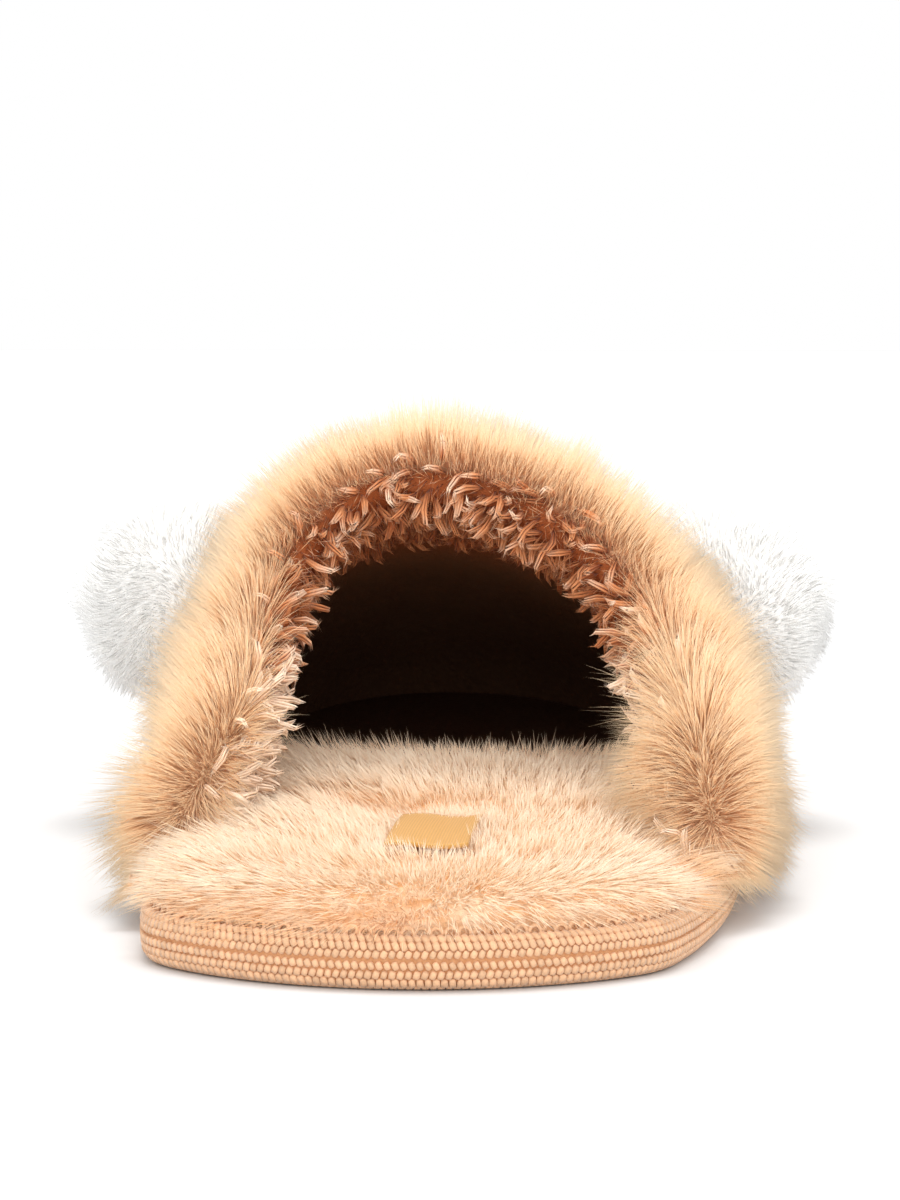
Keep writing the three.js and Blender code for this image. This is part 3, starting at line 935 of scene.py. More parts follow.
class SlipperPiles(bpy.types.PropertyGroup):
    """Sizes of the piles, and the seed of their random draws."""

    fur_length: FloatProperty(
        name="Fur length", description="Length of the upper's hairs", default=0.0102, unit="LENGTH"
    )
    fur_density: FloatProperty(
        name="Fur density", description="Hairs on each square metre of the collar", default=8.2e6
    )
    plush_length: FloatProperty(
        name="Plush length", description="Length of the insole's hairs", default=0.0062, unit="LENGTH"
    )
    plush_density: FloatProperty(
        name="Plush density", description="Hairs on each square metre of the insole", default=2.75e6
    )
    lock_length: FloatProperty(
        name="Lock length", description="Length of a lock of the lining", default=0.0058, unit="LENGTH"
    )
    lock_density: FloatProperty(
        name="Lock density", description="Locks on each square metre of the lining", default=1.85e5
    )
    wool_length: FloatProperty(
        name="Wool length", description="Length of the lining's wool", default=0.0036, unit="LENGTH"
    )
    wool_density: FloatProperty(
        name="Wool density", description="Hairs on each square metre of the lining", default=1.0e6
    )
    hair_width: FloatProperty(
        name="Hair width", description="Width of a hair at its thickest", default=0.00014, unit="LENGTH"
    )
    seed: IntProperty(name="Seed", description="Start of every random draw", default=7)


def cloth_colour(name, description, red, green, blue):
    """A colour that the user can change; its default is a picture's colour, 0 to 255."""
    return FloatVectorProperty(
        name=name, description=description, subtype="COLOR", default=srgb(red, green, blue)
    )


class SlipperColours(bpy.types.PropertyGroup):
    """Colours of the slipper's cloths."""

    fur_root: cloth_colour("Fur root", "Fur at its root", 222, 140, 72)
    fur_body: cloth_colour("Fur body", "Fur at half its length", 251, 214, 171)
    fur_tip: cloth_colour("Fur tip", "Fur at its tip", 252, 228, 194)
    plush_root: cloth_colour("Plush root", "Insole pile at its root", 238, 180, 124)
    plush_body: cloth_colour("Plush body", "Insole pile at half its length", 254, 228, 198)
    plush_tip: cloth_colour("Plush tip", "Insole pile at its tip", 255, 240, 220)
    wool_dark: cloth_colour("Wool dark", "Lining at its roots", 164, 92, 54)
    wool_middle: cloth_colour("Wool middle", "Lining at half length", 220, 152, 104)
    wool_light: cloth_colour("Wool light", "Lining at its tips", 255, 232, 208)
    knit: cloth_colour("Knit", "Yarn of the binding", 226, 180, 140)
    knit_dark: cloth_colour("Knit dark", "Between the stitches", 188, 132, 90)
    label: cloth_colour("Label", "Woven label", 210, 156, 78)
    white: cloth_colour("White", "Pompom hair", 255, 254, 252)
    # Colour of the painted shade deep in the toe, on the wall's inside and on the insole
    dark: cloth_colour("Painted toe shade", "Shade painted deep in the toe", 180, 128, 94)


def piles():
    return bpy.context.scene.slipper_piles


def colours():
    return bpy.context.scene.slipper_colours


# Stage

WORLD_STRENGTH = 1.0
# Columns: name, height over the horizon behind the camera, turn to the left, breadth (degrees), power
SUNS = (
    ("key", 96, -6, 26, 1.6),
    ("fill", 24, 8, 60, 1.5),
)
FLOOR_HALF = 6.0
FLOOR_TONE = 0.71


def make_camera():
    """The picture's own view: behind the heel, low, with the toe a little to the right."""
    yaw = Matrix.Rotation(CAMERA_YAW, 4, "Z")
    heel = Vector(SHIFT) + Vector((0, -HALF_LENGTH, 0))
    seen_from = Vector((-HEEL_IN_VIEW, -CAMERA_BACK, 0))
    place = heel + yaw.to_3x3() @ seen_from
    data = bpy.data.cameras.new("camera")
    data.sensor_fit = "VERTICAL"
    data.sensor_height = SENSOR
    data.lens = FOCAL_PIXELS / FRAME_HEIGHT * SENSOR
    data.clip_start = 0.01
    camera = bpy.data.objects.new("camera", data)
    camera.location = (place.x, place.y, CAMERA_HEIGHT)
    camera.rotation_euler = (math.pi / 2 - CAMERA_DOWN, 0, CAMERA_YAW)
    bpy.context.scene.collection.objects.link(camera)
    bpy.context.scene.camera = camera


def make_sun(name, elevation, to_left, breadth, power):
    """A broad, soft sun; over 90 degrees it shines from the toe's side."""
    data = bpy.data.lights.new(name, "SUN")
    data.angle = math.radians(breadth)
    data.energy = power
    sun = bpy.data.objects.new(name, data)
    sun.rotation_euler = (math.radians(90 - elevation), 0, math.radians(to_left))
    bpy.context.scene.collection.objects.link(sun)


def make_world():
    """Soft white light from all round."""
    world = bpy.data.worlds.new("studio")
    bpy.context.scene.world = world
    world.use_nodes = True
    background = world.node_tree.nodes["Background"]
    background.inputs["Color"].default_value = (1.0, 1.0, 1.0, 1.0)
    background.inputs["Strength"].default_value = WORLD_STRENGTH


def make_floor():
    mesh = bpy.data.meshes.new("floor")
    corners = [(x * FLOOR_HALF, y * FLOOR_HALF, 0) for x, y in ((-1, -1), (1, -1), (1, 1), (-1, 1))]
    mesh.from_pydata(corners, [], [(0, 1, 2, 3)])
    floor = new_object("floor", mesh)
    material, _, shader = new_material("studio_floor", 0.6, 0.0)
    shader.inputs["Base Color"].default_value = (FLOOR_TONE, FLOOR_TONE, FLOOR_TONE, 1)
    mesh.materials.append(material)


class SLIPPER_OT_stage(bpy.types.Operator):
    """Makes the camera, the lights and the floor."""

    bl_idname = "slipper.stage"
    bl_label = "Stage"

    def execute(self, context):
        context.scene.view_settings.view_transform = "Standard"
        make_camera()
        make_world()
        for sun in SUNS:
            make_sun(*sun)
        make_floor()
        return {"FINISHED"}


# Upper

# Columns: out of the skin, on towards the toe, and down at the sides
VAMP_COMB = (0.66, 0.62, 0.24)
COLLAR_COMB = (0.95, 0.16, 0.05)
FUR_GROWTH = dict(
    length_spread=0.35, clump_size=0.004, clump_pull=0.28, clump_lean=0.003, sway=0.01, sway_scale=55.0,
    frizz=0.0022, bend=0.0012, stray=0.16,
)
# The vamp's hairs are fewer and wider, because the photograph shows the collar close
VAMP_DENSITY = 0.15
VAMP_HAIR_WIDTH = 1.8
# Rows over which the collar's hairs give way to the vamp's
FUR_OVERLAP = 4
FUR_OFF_POMPOMS = 0.004

LOCK_GROWTH = dict(
    length_spread=0.3, clump_size=0.009, clump_pull=0.0, clump_lean=0.0, sway=0.003, sway_scale=200.0,
    frizz=0.0016, bend=0.0, stray=0.5,
)
# Wool that has one tone of its own, and draws together
LOCK_SIZE = 0.0021
WOOL_GROWTH = dict(
    length_spread=0.3, clump_size=LOCK_SIZE, clump_pull=0.6, clump_lean=0.008, sway=0.003, sway_scale=200.0,
    frizz=0.001, bend=0.0, stray=0.3,
)
WOOL_HAIR_WIDTH = 1.6


def lining_material(colour):
    """Brown wool with light tips, all cream low on the sides, darker deeper inside the shoe as painted shade,
    with a painted glow of its root colour.
    """
    material, kit, shader = new_material("tufted_lining", 0.8, 0.1, 0.1, tuple(colour.wool_dark))
    root = attribute(kit, "root", "Vector")
    lock = kit.get("ShaderNodeTexVoronoi", None, {"Vector": root, "Scale": 1 / LOCK_SIZE}, "Color")
    pale = 1.0 - kit.clamp(kit.part(root, "Z"), *CREAM_HEIGHTS)
    streak = noise(kit, object_place(kit) * (1.0, 1.0, 0.5), 2200.0)
    tone = attribute(kit, "along") * 0.7 + (attribute(kit, "shade") - 0.5) * 0.35
    tone = tone + kit.part(lock, "X") * 0.2 + (streak - 0.5) * 0.2
    # Painted shade: darker deeper inside the shoe, except where the wool is cream
    tone = tone - attribute(kit, "dent") * 0.4 * (1.0 - pale) + pale * 0.9
    stops = (0.1, colour.wool_dark), (0.5, colour.wool_middle), (0.95, colour.wool_light)
    feed(kit, shader, "Base Color", kit.ramp(tone, *stops))
    return material


class SLIPPER_OT_upper(bpy.types.Operator):
    """Makes the upper's skin, its deep fur and the curls of its lining."""

    bl_idname = "slipper.upper"
    bl_label = "Upper"

    def execute(self, context):
        size, colour = piles(), colours()
        skin = Skin()
        self.make_wall(skin, colour)
        tree = pile_tree()
        self.make_fur(skin, tree, size, colour)
        self.make_lining(skin, tree, size, colour)
        return {"FINISHED"}

    def make_wall(self, skin, colour):
        mesh = skin.closed_mesh("upper_skin")
        ground = plush_skin_material(
            "fur_ground", tinted(colour.fur_body, 0.86), colour.fur_body, tuple(colour.dark),
            tuple(colour.wool_dark),
        )
        mesh.materials.append(ground)
        finish_piece(new_object("upper_skin", tidy(mesh)), "upper_fur", "upper")

    def make_fur(self, skin, tree, size, colour):
        """Hairs that lie towards the toe on the vamp, stand up at the collar and hang low at the sides."""
        hair = down_shape()
        fur = fur_material("upper_fur", colour.fur_root, colour.fur_body, colour.fur_tip, depth=0.3)
        erect = smooth((skin.row - skin.collar_at + 4) / 10)[..., None]
        comb = unit(skin.comb(*VAMP_COMB) * (1 - erect) + skin.comb(*COLLAR_COMB) * erect)
        low = smooth((np.abs(skin.around) - 0.6) / 0.35)[..., None]
        comb = unit(comb * (1 - 0.3 * low) + skin.fall * 0.8 * low)
        clear = off_pompoms(skin.points, FUR_OFF_POMPOMS)
        reach = np.clip((skin.points[..., 2] - lift(skin.points[..., 1]) - 0.003) / 0.01, 0.5, 1)
        short_of_end = skin.fur_end - skin.row
        furred = smooth(short_of_end + 0.5)
        arched = 1 - smooth((np.abs(skin.around) - 0.5) / 0.2)
        # Painted shade: the fur is darkened in its dents and along the crease where it meets the lining over
        # the arch
        dent = skin.dent + 0.9 * arched * np.exp(-((short_of_end / 1.7) ** 2))
        split = skin.collar_at - round(SKIN_ROWS * COLLAR_SHARE)
        near = smooth((skin.row - split + FUR_OVERLAP) / (2 * FUR_OVERLAP))
        lip = skin.collar_at + math.ceil(RIM_FURRED[-1][1])
        middle, last = SKIN_COLUMNS // 2, SKIN_COLUMNS - 1
        collar = (split - FUR_OVERLAP, lip), clear * furred * near, 1.0, 1.0
        vamp = (0, split + FUR_OVERLAP), clear * (1 - near), VAMP_DENSITY, VAMP_HAIR_WIDTH
        # Columns: name, columns of the skin, its rows, hairs' share there, density, width, seed
        parts = (
            ("upper_fur_collar_medial", (0, middle), *collar, 0),
            ("upper_fur_collar_lateral", (middle, last), *collar, 1),
            ("upper_fur_vamp", (0, last), *vamp, 20),
        )
        for name, columns, rows, share, density, width, seed in parts:
            ground = skin.emitter("fur_places", columns, rows, comb, share, reach, dent)
            piece = grow(
                name, ground, hair, fur, tree, width=size.hair_width * width, length=size.fur_length,
                per_square_metre=size.fur_density * density, seed=size.seed + seed, **FUR_GROWTH,
            )
            finish_piece(piece, "upper_fur", "upper")
        bpy.data.objects.remove(hair)

    def make_lining(self, skin, tree, size, colour):
        """Locks of wool that lie every way over each other, on a ground of loose wool."""
        end = skin.inner_at + round(SKIN_ROWS * LINING_SHARE)
        part = (0, SKIN_COLUMNS - 1), (skin.collar_at + 4, end)
        material = lining_material(colour)
        turned = np.clip(2 * lumps(skin.points, 0.007, 9), -1, 1)[..., None]
        lying = unit(skin.normal * 0.5 - skin.flow * 0.15 + skin.across * turned * 0.6)
        past_fur = skin.row - skin.fur_end
        woolly = 1 - smooth(-past_fur - 1.2)
        # inward also darkens the wool deeper inside the shoe, as painted shade, besides shortening it
        inward = smooth((past_fur - 3) / 9)
        kinds = (
            (
                "upper_lining_locks", lock_shape(), 40,
                dict(
                    per_square_metre=size.lock_density, length=size.lock_length, width=size.lock_length,
                    **LOCK_GROWTH,
                ),
            ),
            (
                "upper_lining_wool", down_shape(), 41,
                dict(
                    per_square_metre=size.wool_density, length=size.wool_length,
                    width=size.hair_width * WOOL_HAIR_WIDTH, **WOOL_GROWTH,
                ),
            ),
        )
        for name, shape, seed, growth in kinds:
            ground = skin.emitter("lining_places", *part, lying, woolly, 1 - 0.35 * inward, inward)
            piece = grow(name, ground, shape, material, tree, seed=size.seed + seed, **growth)
            finish_piece(piece, "upper_fur", "upper")
            bpy.data.objects.remove(shape)


# Insole and label

PILE_OVER_PAD = 0.0032
PAD_STATIONS = 160
PAD_FOOT = 0.0043
PAD_SHOULDER = BINDING_HEIGHT + 0.0003
# Columns: inset from the outline, share of the height over the binding
PAD_RINGS = (
    (BINDING_WIDTH + 0.0003, 0.0),
    (INSOLE_OVER_BINDING + 0.0032, 0.06),
    (INSOLE_OVER_BINDING + 0.003, 0.3),
    (INSOLE_OVER_BINDING + 0.0036, 0.55),
    (INSOLE_OVER_BINDING + 0.005, 0.78),
    (INSOLE_OVER_BINDING + 0.0078, 0.9),
    (INSOLE_OVER_BINDING + 0.012, 0.97),
    (INSOLE_OVER_BINDING + 0.015, 0.99),
    (INSOLE_OVER_BINDING + INSOLE_CROWN_WIDTH, 1.0),
    (INSOLE_OVER_BINDING + 0.025, 1.0),
    (INSOLE_OVER_BINDING + 0.03, 1.0),
    (INSOLE_OVER_BINDING + 0.035, 1.0),
)
CREASE_DEPTH = 0.0038
# Shares of the length: the plush ends in the toe, and at the sides where the upper starts
PLUSH_END = 0.55
PLUSH_SIDE_END = 0.27
# Rings of the pad that are its foot, and that are its foot and side
FOOT_RINGS = 3
SIDE_RINGS = 6
PLUSH_GROWTH = dict(
    length_spread=0.3, stray=0.2, clump_size=0.0036, clump_pull=0.3, clump_lean=0.0022, sway=0.004,
    sway_scale=90.0, frizz=0.0018, bend=0.0014,
)
# How far the plush laps over the label's sides and ends
PLUSH_OVER_LABEL = (0.0005, 0.0007)
LABEL_BOW = 0.0007
LABEL_WAVE = 0.00025
LABEL_CLOTH = 0.0006

# Creases pressed into the insole: a line of places, reach and depth
# Their depth also darkens the plush's colour, as painted shade in the creases
INSOLE_CREASES = (
    (((-0.0345, -0.0370), (-0.0210, -0.0320), (-0.0100, -0.0420), (-0.0065, -0.0560)), 0.0045, 0.0026),
    (((-0.0065, -0.0560), (0.0010, -0.0575), (0.0090, -0.0600)), 0.0040, 0.0016),
    (((0.0330, -0.0690), (0.0380, -0.0850), (0.0412, -0.0970)), 0.0050, 0.0022),
    (((-0.0290, -0.1200), (-0.0150, -0.1240), (0.0000, -0.1225)), 0.0045, 0.0018),
)


def creases_at(points):
    """How deep places on the insole lie in its soft creases, 0 to about 1."""
    deep = np.zeros(len(points))
    for line, reach, depth in INSOLE_CREASES:
        nearest = np.full(len(points), 1.0)
        for start, end in zip(line, line[1:]):
            start, end = np.array(start), np.array(end)
            span = end - start
            t = np.clip((points[:, :2] - start) @ span / (span @ span), 0, 1)
            nearest = np.minimum(nearest, np.linalg.norm(points[:, :2] - start - t[:, None] * span, axis=1))
        deep = np.maximum(deep, depth / FULL_DENT * np.exp(-((nearest / reach) ** 2)))
    return deep


def fold(turns):
    """Splits turns of the whole outline into the side of the foot and a turn from heel to toe."""
    return np.where(turns <= math.pi, 1.0, -1.0), np.where(turns <= math.pi, turns, 2 * math.pi - turns)


def outline(stations, inset, z):
    side, turn = fold(2 * math.pi * np.arange(stations) / stations)
    return edge_points(turn, side, inset, z)


def pad_grid():
    """Rings of the insole's pad, from its foot to its crown."""
    rings = [outline(PAD_STATIONS, BINDING_WIDTH + 0.0003, PAD_FOOT)]
    for inset, share in PAD_RINGS:
        ring = outline(PAD_STATIONS, inset, 0.0)
        top = insole_top(ring[:, 1]) - PILE_OVER_PAD
        ring[:, 2] += PAD_SHOULDER + (top - PAD_SHOULDER) * share
        rings.append(ring)
    grid = np.stack(rings)
    upper_rings = grid[2:].reshape(-1, 3)
    upper_rings[:, 2] -= creases_at(upper_rings) * CREASE_DEPTH
    grid[2:] = upper_rings.reshape(grid[2:].shape)
    return grid


def strips(ring, stations, up):
    """Faces across a ring, from its heel to its toe."""
    faces = []
    for i in range(stations // 2):
        left, right = ring * stations + i, ring * stations + i + 1
        far_right = ring * stations + (stations - i - 1) % stations
        far_left = ring * stations + (stations - i) % stations
        face = list(dict.fromkeys((left, right, far_right, far_left)))
        faces.append(tuple(face if up else reversed(face)))
    return faces


def weave_material(colour):
    """Golden thread, across and along."""
    material, kit, shader = new_material("gold_weave", 0.5, 0.4, 0.15)
    place = object_place(kit)
    weft, warp = (
        kit.get(
            "ShaderNodeTexWave",
            {"bands_direction": direction},
            {"Vector": place, "Scale": scale, "Distortion": distortion},
            "Fac",
        )
        for direction, scale, distortion in (("Y", 420.0, 0.6), ("X", 700.0, 0.4))
    )
    weave = weft * 0.6 + warp * 0.4
    feed(kit, shader, "Base Color", kit.mix(weave, tinted(colour.label, 0.72), tinted(colour.label, 1.15)))
    feed(kit, shader, "Normal", bump(kit, weave, 0.5, 0.0002))
    return material


class SLIPPER_OT_insole(bpy.types.Operator):
    """Makes the insole's pad and its plush, and the label on it."""

    bl_idname = "slipper.insole"
    bl_label = "Insole"

    def execute(self, context):
        size, colour = piles(), colours()
        grid = pad_grid()
        points = grid.reshape(-1, 3)
        faces = quads(len(grid), PAD_STATIONS, wrap=True)
        faces += strips(len(grid) - 1, PAD_STATIONS, True) + strips(0, PAD_STATIONS, False)
        self.make_pad(points, faces, colour)
        self.make_plush(points, faces[PAD_STATIONS : -(PAD_STATIONS // 2)], size, colour)
        self.make_label(LABEL_LOW, LABEL_HIGH, colour)
        return {"FINISHED"}

    def make_pad(self, points, faces, colour):
        # Painted shade deep in the toe, past this share of the length
        deep_in = smooth((share_of(points[:, 1]) - 0.58) / 0.06)
        mesh = tidy(mesh_of("insole_pad", points, faces, inside=deep_in))
        mesh.materials.append(
            plush_skin_material("plush_ground", colour.plush_root, colour.plush_body, tuple(colour.dark))
        )
        pad = finish_piece(new_object("insole_pad", mesh), "insole_plush", "insole")

    def make_plush(self, points, faces, size, colour):
        """Hairs that stand up on the pad, and hang outwards round its edge."""
        along = share_of(points[:, 1])
        ring_of = np.repeat(np.arange(len(points) // PAD_STATIONS), PAD_STATIONS)
        density = 1 - smooth((along - PLUSH_END) / 0.09)
        density = np.where((ring_of < SIDE_RINGS) & (along > PLUSH_SIDE_END), 0.0, density)
        density = np.where(ring_of < FOOT_RINGS, 0.0, density)
        outward = np.zeros_like(points)
        outward[:, 0] = points[:, 0] - swing(points[:, 1])
        outward[:, 1] = np.minimum(points[:, 1] + HALF_LENGTH * 0.72, 0)
        outward = unit(outward)
        rise = smooth((ring_of - 1) / (ring_of[-1] - 1))
        comb = outward * (1.0 - 0.75 * rise)[:, None]
        comb[:, 1] -= 0.55 * rise
        comb[:, 2] += 0.05 + 0.6 * rise
        bend = outward * (1 - rise)[:, None] * 0.5
        bend[:, 1] -= 0.6 * rise
        bend[:, 2] -= 0.9 * (1 - rise)
        # Painted shade in the plush's colour: darker in its creases, round its edge over the binding, and
        # towards the toe under the vamp
        places = mesh_of(
            "plush_places", points, faces, comb=unit(comb), bend=unit(bend), density=density,
            reach=0.78 + 1.5 * rise * (1 - rise),
            dent=1.3 * creases_at(points) + 1.0 * (1 - rise) ** 1.5 + 0.8 * smooth((along - 0.5) / 0.1),
        )
        hair = hair_shape()
        plush = fur_material(
            "insole_plush", colour.plush_root, colour.plush_body, colour.plush_tip, depth=0.55
        )
        half = (LABEL_HIGH - LABEL_LOW) / 2
        piece = grow(
            "insole_plush", new_object("plush_places", places), hair, plush, pile_tree(),
            per_square_metre=size.plush_density, length=size.plush_length, width=size.hair_width,
            bare_middle=tuple((LABEL_LOW + LABEL_HIGH) / 2),
            bare_half_size=(half.x - PLUSH_OVER_LABEL[0], half.y - PLUSH_OVER_LABEL[1], 0.0),
            seed=size.seed + 60, **PLUSH_GROWTH,
        )
        bpy.data.objects.remove(hair)
        finish_piece(piece, "insole_plush", "insole")

    def make_label(self, low, high, colour):
        """A small woven tape, a little bowed."""
        across, lengthwise = 12, 28
        columns, rows = across + 1, lengthwise + 1
        grid_x, grid_y = np.meshgrid(np.linspace(low.x, high.x, columns), np.linspace(low.y, high.y, rows))
        bow = LABEL_BOW * np.cos(np.linspace(-1.2, 1.2, rows))[:, None]
        wave = LABEL_WAVE * np.sin(np.linspace(0, 7, columns))[None, :]
        top = np.stack([grid_x, grid_y, np.full_like(grid_x, high.z) + bow + wave], axis=-1) - SHIFT
        bottom = top - np.array((0, 0, LABEL_CLOTH))
        count = columns * rows
        faces = quads(rows, columns)
        faces += [tuple(reversed([v + count for v in f])) for f in quads(rows, columns)]
        rim = list(range(columns))
        rim += [r * columns + across for r in range(1, rows)]
        rim += [(rows - 1) * columns + c for c in range(across - 1, -1, -1)]
        rim += [r * columns for r in range(rows - 2, 0, -1)]
        for a, b in zip(rim, rim[1:] + rim[:1]):
            faces.append((a, a + count, b + count, b))
        points = np.concatenate([top.reshape(-1, 3), bottom.reshape(-1, 3)])
        mesh = tidy(mesh_of("woven_label", points, faces))
        mesh.materials.append(weave_material(colour))
        finish_piece(new_object("woven_label", mesh), "label", "label")


# Binding and outsole

STITCH_PITCH = 0.00116
LOOP_PITCH = 0.0021
LOOP_WIDTH = 0.0021
LOOP_HEIGHT = 0.0019
# Place of the loops on the binding's section, as an angle from its widest line (0) to its top (0.5)
LOOPS_AT = 0.4
BINDING_STATIONS = 240
BINDING_STEPS = 16
YARN = 0.0005
# Columns: angle on the binding's section, stitch length, width and height, tilt
KNIT_ROWS = (
    (-0.4, 0.0016, 0.0012, 0.0007, 0.0),
    (-0.25, 0.0018, 0.00122, 0.00085, 0.05),
    (-0.11, 0.0014, 0.0011, 0.0009, -0.35),
    (-0.01, 0.0013, 0.00105, 0.0009, 0.45),
    (0.09, 0.0013, 0.00105, 0.0009, -0.45),
    (0.2, 0.0015, 0.0011, 0.00095, 0.45),
    (0.33, 0.0018, 0.0011, 0.001, 0.6),
)


def binding_section(share):
    """Inset and height of the binding's surface; share runs from -0.5 below to 0.5 above."""
    angle = np.asarray(share) * math.pi

    def squared(t):
        return np.sign(t) * np.abs(t) ** BINDING_SQUARENESS

    middle = (BINDING_HEIGHT + BINDING_FLOOR_GAP) / 2
    tall = (BINDING_HEIGHT - BINDING_FLOOR_GAP) / 2 - YARN / 2
    wide = BINDING_WIDTH - YARN
    return BINDING_WIDTH - wide * squared(np.cos(angle)), middle + tall * squared(np.sin(angle))


def even_turns(pitch):
    """Places a pitch apart along the outline, as turns of it."""
    fine = 4000
    ring = outline(fine, 0.0, 0.0)
    steps = np.linalg.norm(np.roll(ring, -1, axis=0) - ring, axis=1)
    travelled = np.concatenate([[0], np.cumsum(steps)])
    count = round(travelled[-1] / pitch)
    wanted = np.arange(count) * travelled[-1] / count
    return np.interp(wanted, travelled, np.arange(fine + 1)) * 2 * math.pi / fine


def on_binding(turns, share):
    """Places on the binding, with their directions along it, up its section and outwards."""

    def place(turns):
        side, turn = fold(turns % (2 * math.pi))
        return edge_points(turn, side, inset, z)

    inset, z = binding_section(share)
    here = place(turns)
    along = unit(place(turns + 2e-3) - here)
    out = unit(np.cross(along, np.array((0.0, 0.0, 1.0))))
    inset_up, z_up = binding_section(share + 0.01)
    climb = unit(out * (inset - inset_up) + np.array((0, 0, 1.0)) * (z_up - z))
    return here, along, climb, unit(np.cross(along, climb))


def grain_shape():
    """One stitch: a plump grain of yarn, 1 long."""
    # Columns: place along the stitch, half width
    sections = ((-0.37, 0.506), (0.0, 0.598), (0.37, 0.506))
    sides = 4
    points, faces = [(0, -0.5, 0)], []
    for y, wide in sections:
        for s in range(sides):
            a = 2 * math.pi * (s + 0.5) / sides
            points.append((wide * math.cos(a), y, wide * math.sin(a)))
    points.append((0, 0.5, 0))
    faces += [(0, 1 + s, 1 + (s + 1) % sides) for s in range(sides)]
    for r in range(len(sections) - 1):
        for s in range(sides):
            a, b = 1 + r * sides + s, 1 + r * sides + (s + 1) % sides
            faces.append((a, a + sides, b + sides, b))
    first = 1 + (len(sections) - 1) * sides
    faces += [(first + s, len(points) - 1, first + (s + 1) % sides) for s in range(sides)]
    return shape_object("grain_shape", points, faces, [p[1] + 0.5 for p in points])


def loop_shape():
    """One standing loop of yarn, 1 high: an arch that is open below."""
    steps, sides, thick, wide = 6, 4, 0.17, 0.42
    points, faces = [], []
    for r in range(steps + 1):
        turn = math.pi * (1.15 - 1.3 * r / steps)
        for s in range(sides):
            a = 2 * math.pi * (s + 0.5) / sides
            out = wide + thick * math.cos(a)
            points.append((out * math.cos(turn), 0.4 + out * math.sin(turn) * 1.1, thick * math.sin(a)))
    for r in range(steps):
        for s in range(sides):
            a, b = r * sides + s, r * sides + (s + 1) % sides
            faces.append((a, b, b + sides, a + sides))
    faces.append(tuple(range(sides)))
    faces.append(tuple(reversed(range(steps * sides, (steps + 1) * sides))))
    return shape_object("loop_shape", points, faces, [0.5] * len(points))


def yarn_material(colour):
    """Spun yarn, with a tone for each stitch."""
    material, kit, shader = new_material("knit_yarn", 0.6, 0.35, 0.2)
    fibre = noise(kit, object_place(kit), 2600.0)
    tone = attribute(kit, "shade") * 0.35 + fibre * 0.75
    picked = kit.ramp(tone, (0.2, tinted(colour.knit, 0.74)), (0.85, tinted(colour.knit, 1.12)))
    feed(kit, shader, "Base Color", picked)
    feed(kit, shader, "Normal", bump(kit, fibre, 0.35, 0.0002))
    return material


def tape_material(colour):
    """The knit's ground, dark between the stitches."""
    material, kit, shader = new_material("knit_ground", 0.85, 0.15)
    grain = noise(kit, object_place(kit), 1500.0)
    middle = tuple((a + b) / 2 for a, b in zip(colour.knit, colour.knit_dark))
    feed(kit, shader, "Base Color", kit.ramp(grain, (0.3, colour.knit_dark), (0.75, middle)))
    feed(kit, shader, "Normal", bump(kit, grain, 0.6, 0.0004))
    return material


def suede_material():
    material, kit, shader = new_material("suede_sole", 0.9, 0.15, 0.1)
    place = object_place(kit)
    nap = noise(kit, place, 700.0, 4.0)
    patch = noise(kit, place, 25.0)
    picked = kit.ramp(nap * 0.5 + patch * 0.5, (0.3, srgb(150, 104, 70)), (0.7, srgb(190, 142, 102)))
    feed(kit, shader, "Base Color", picked)
    feed(kit, shader, "Normal", bump(kit, nap, 0.5, 0.0005))
    return material


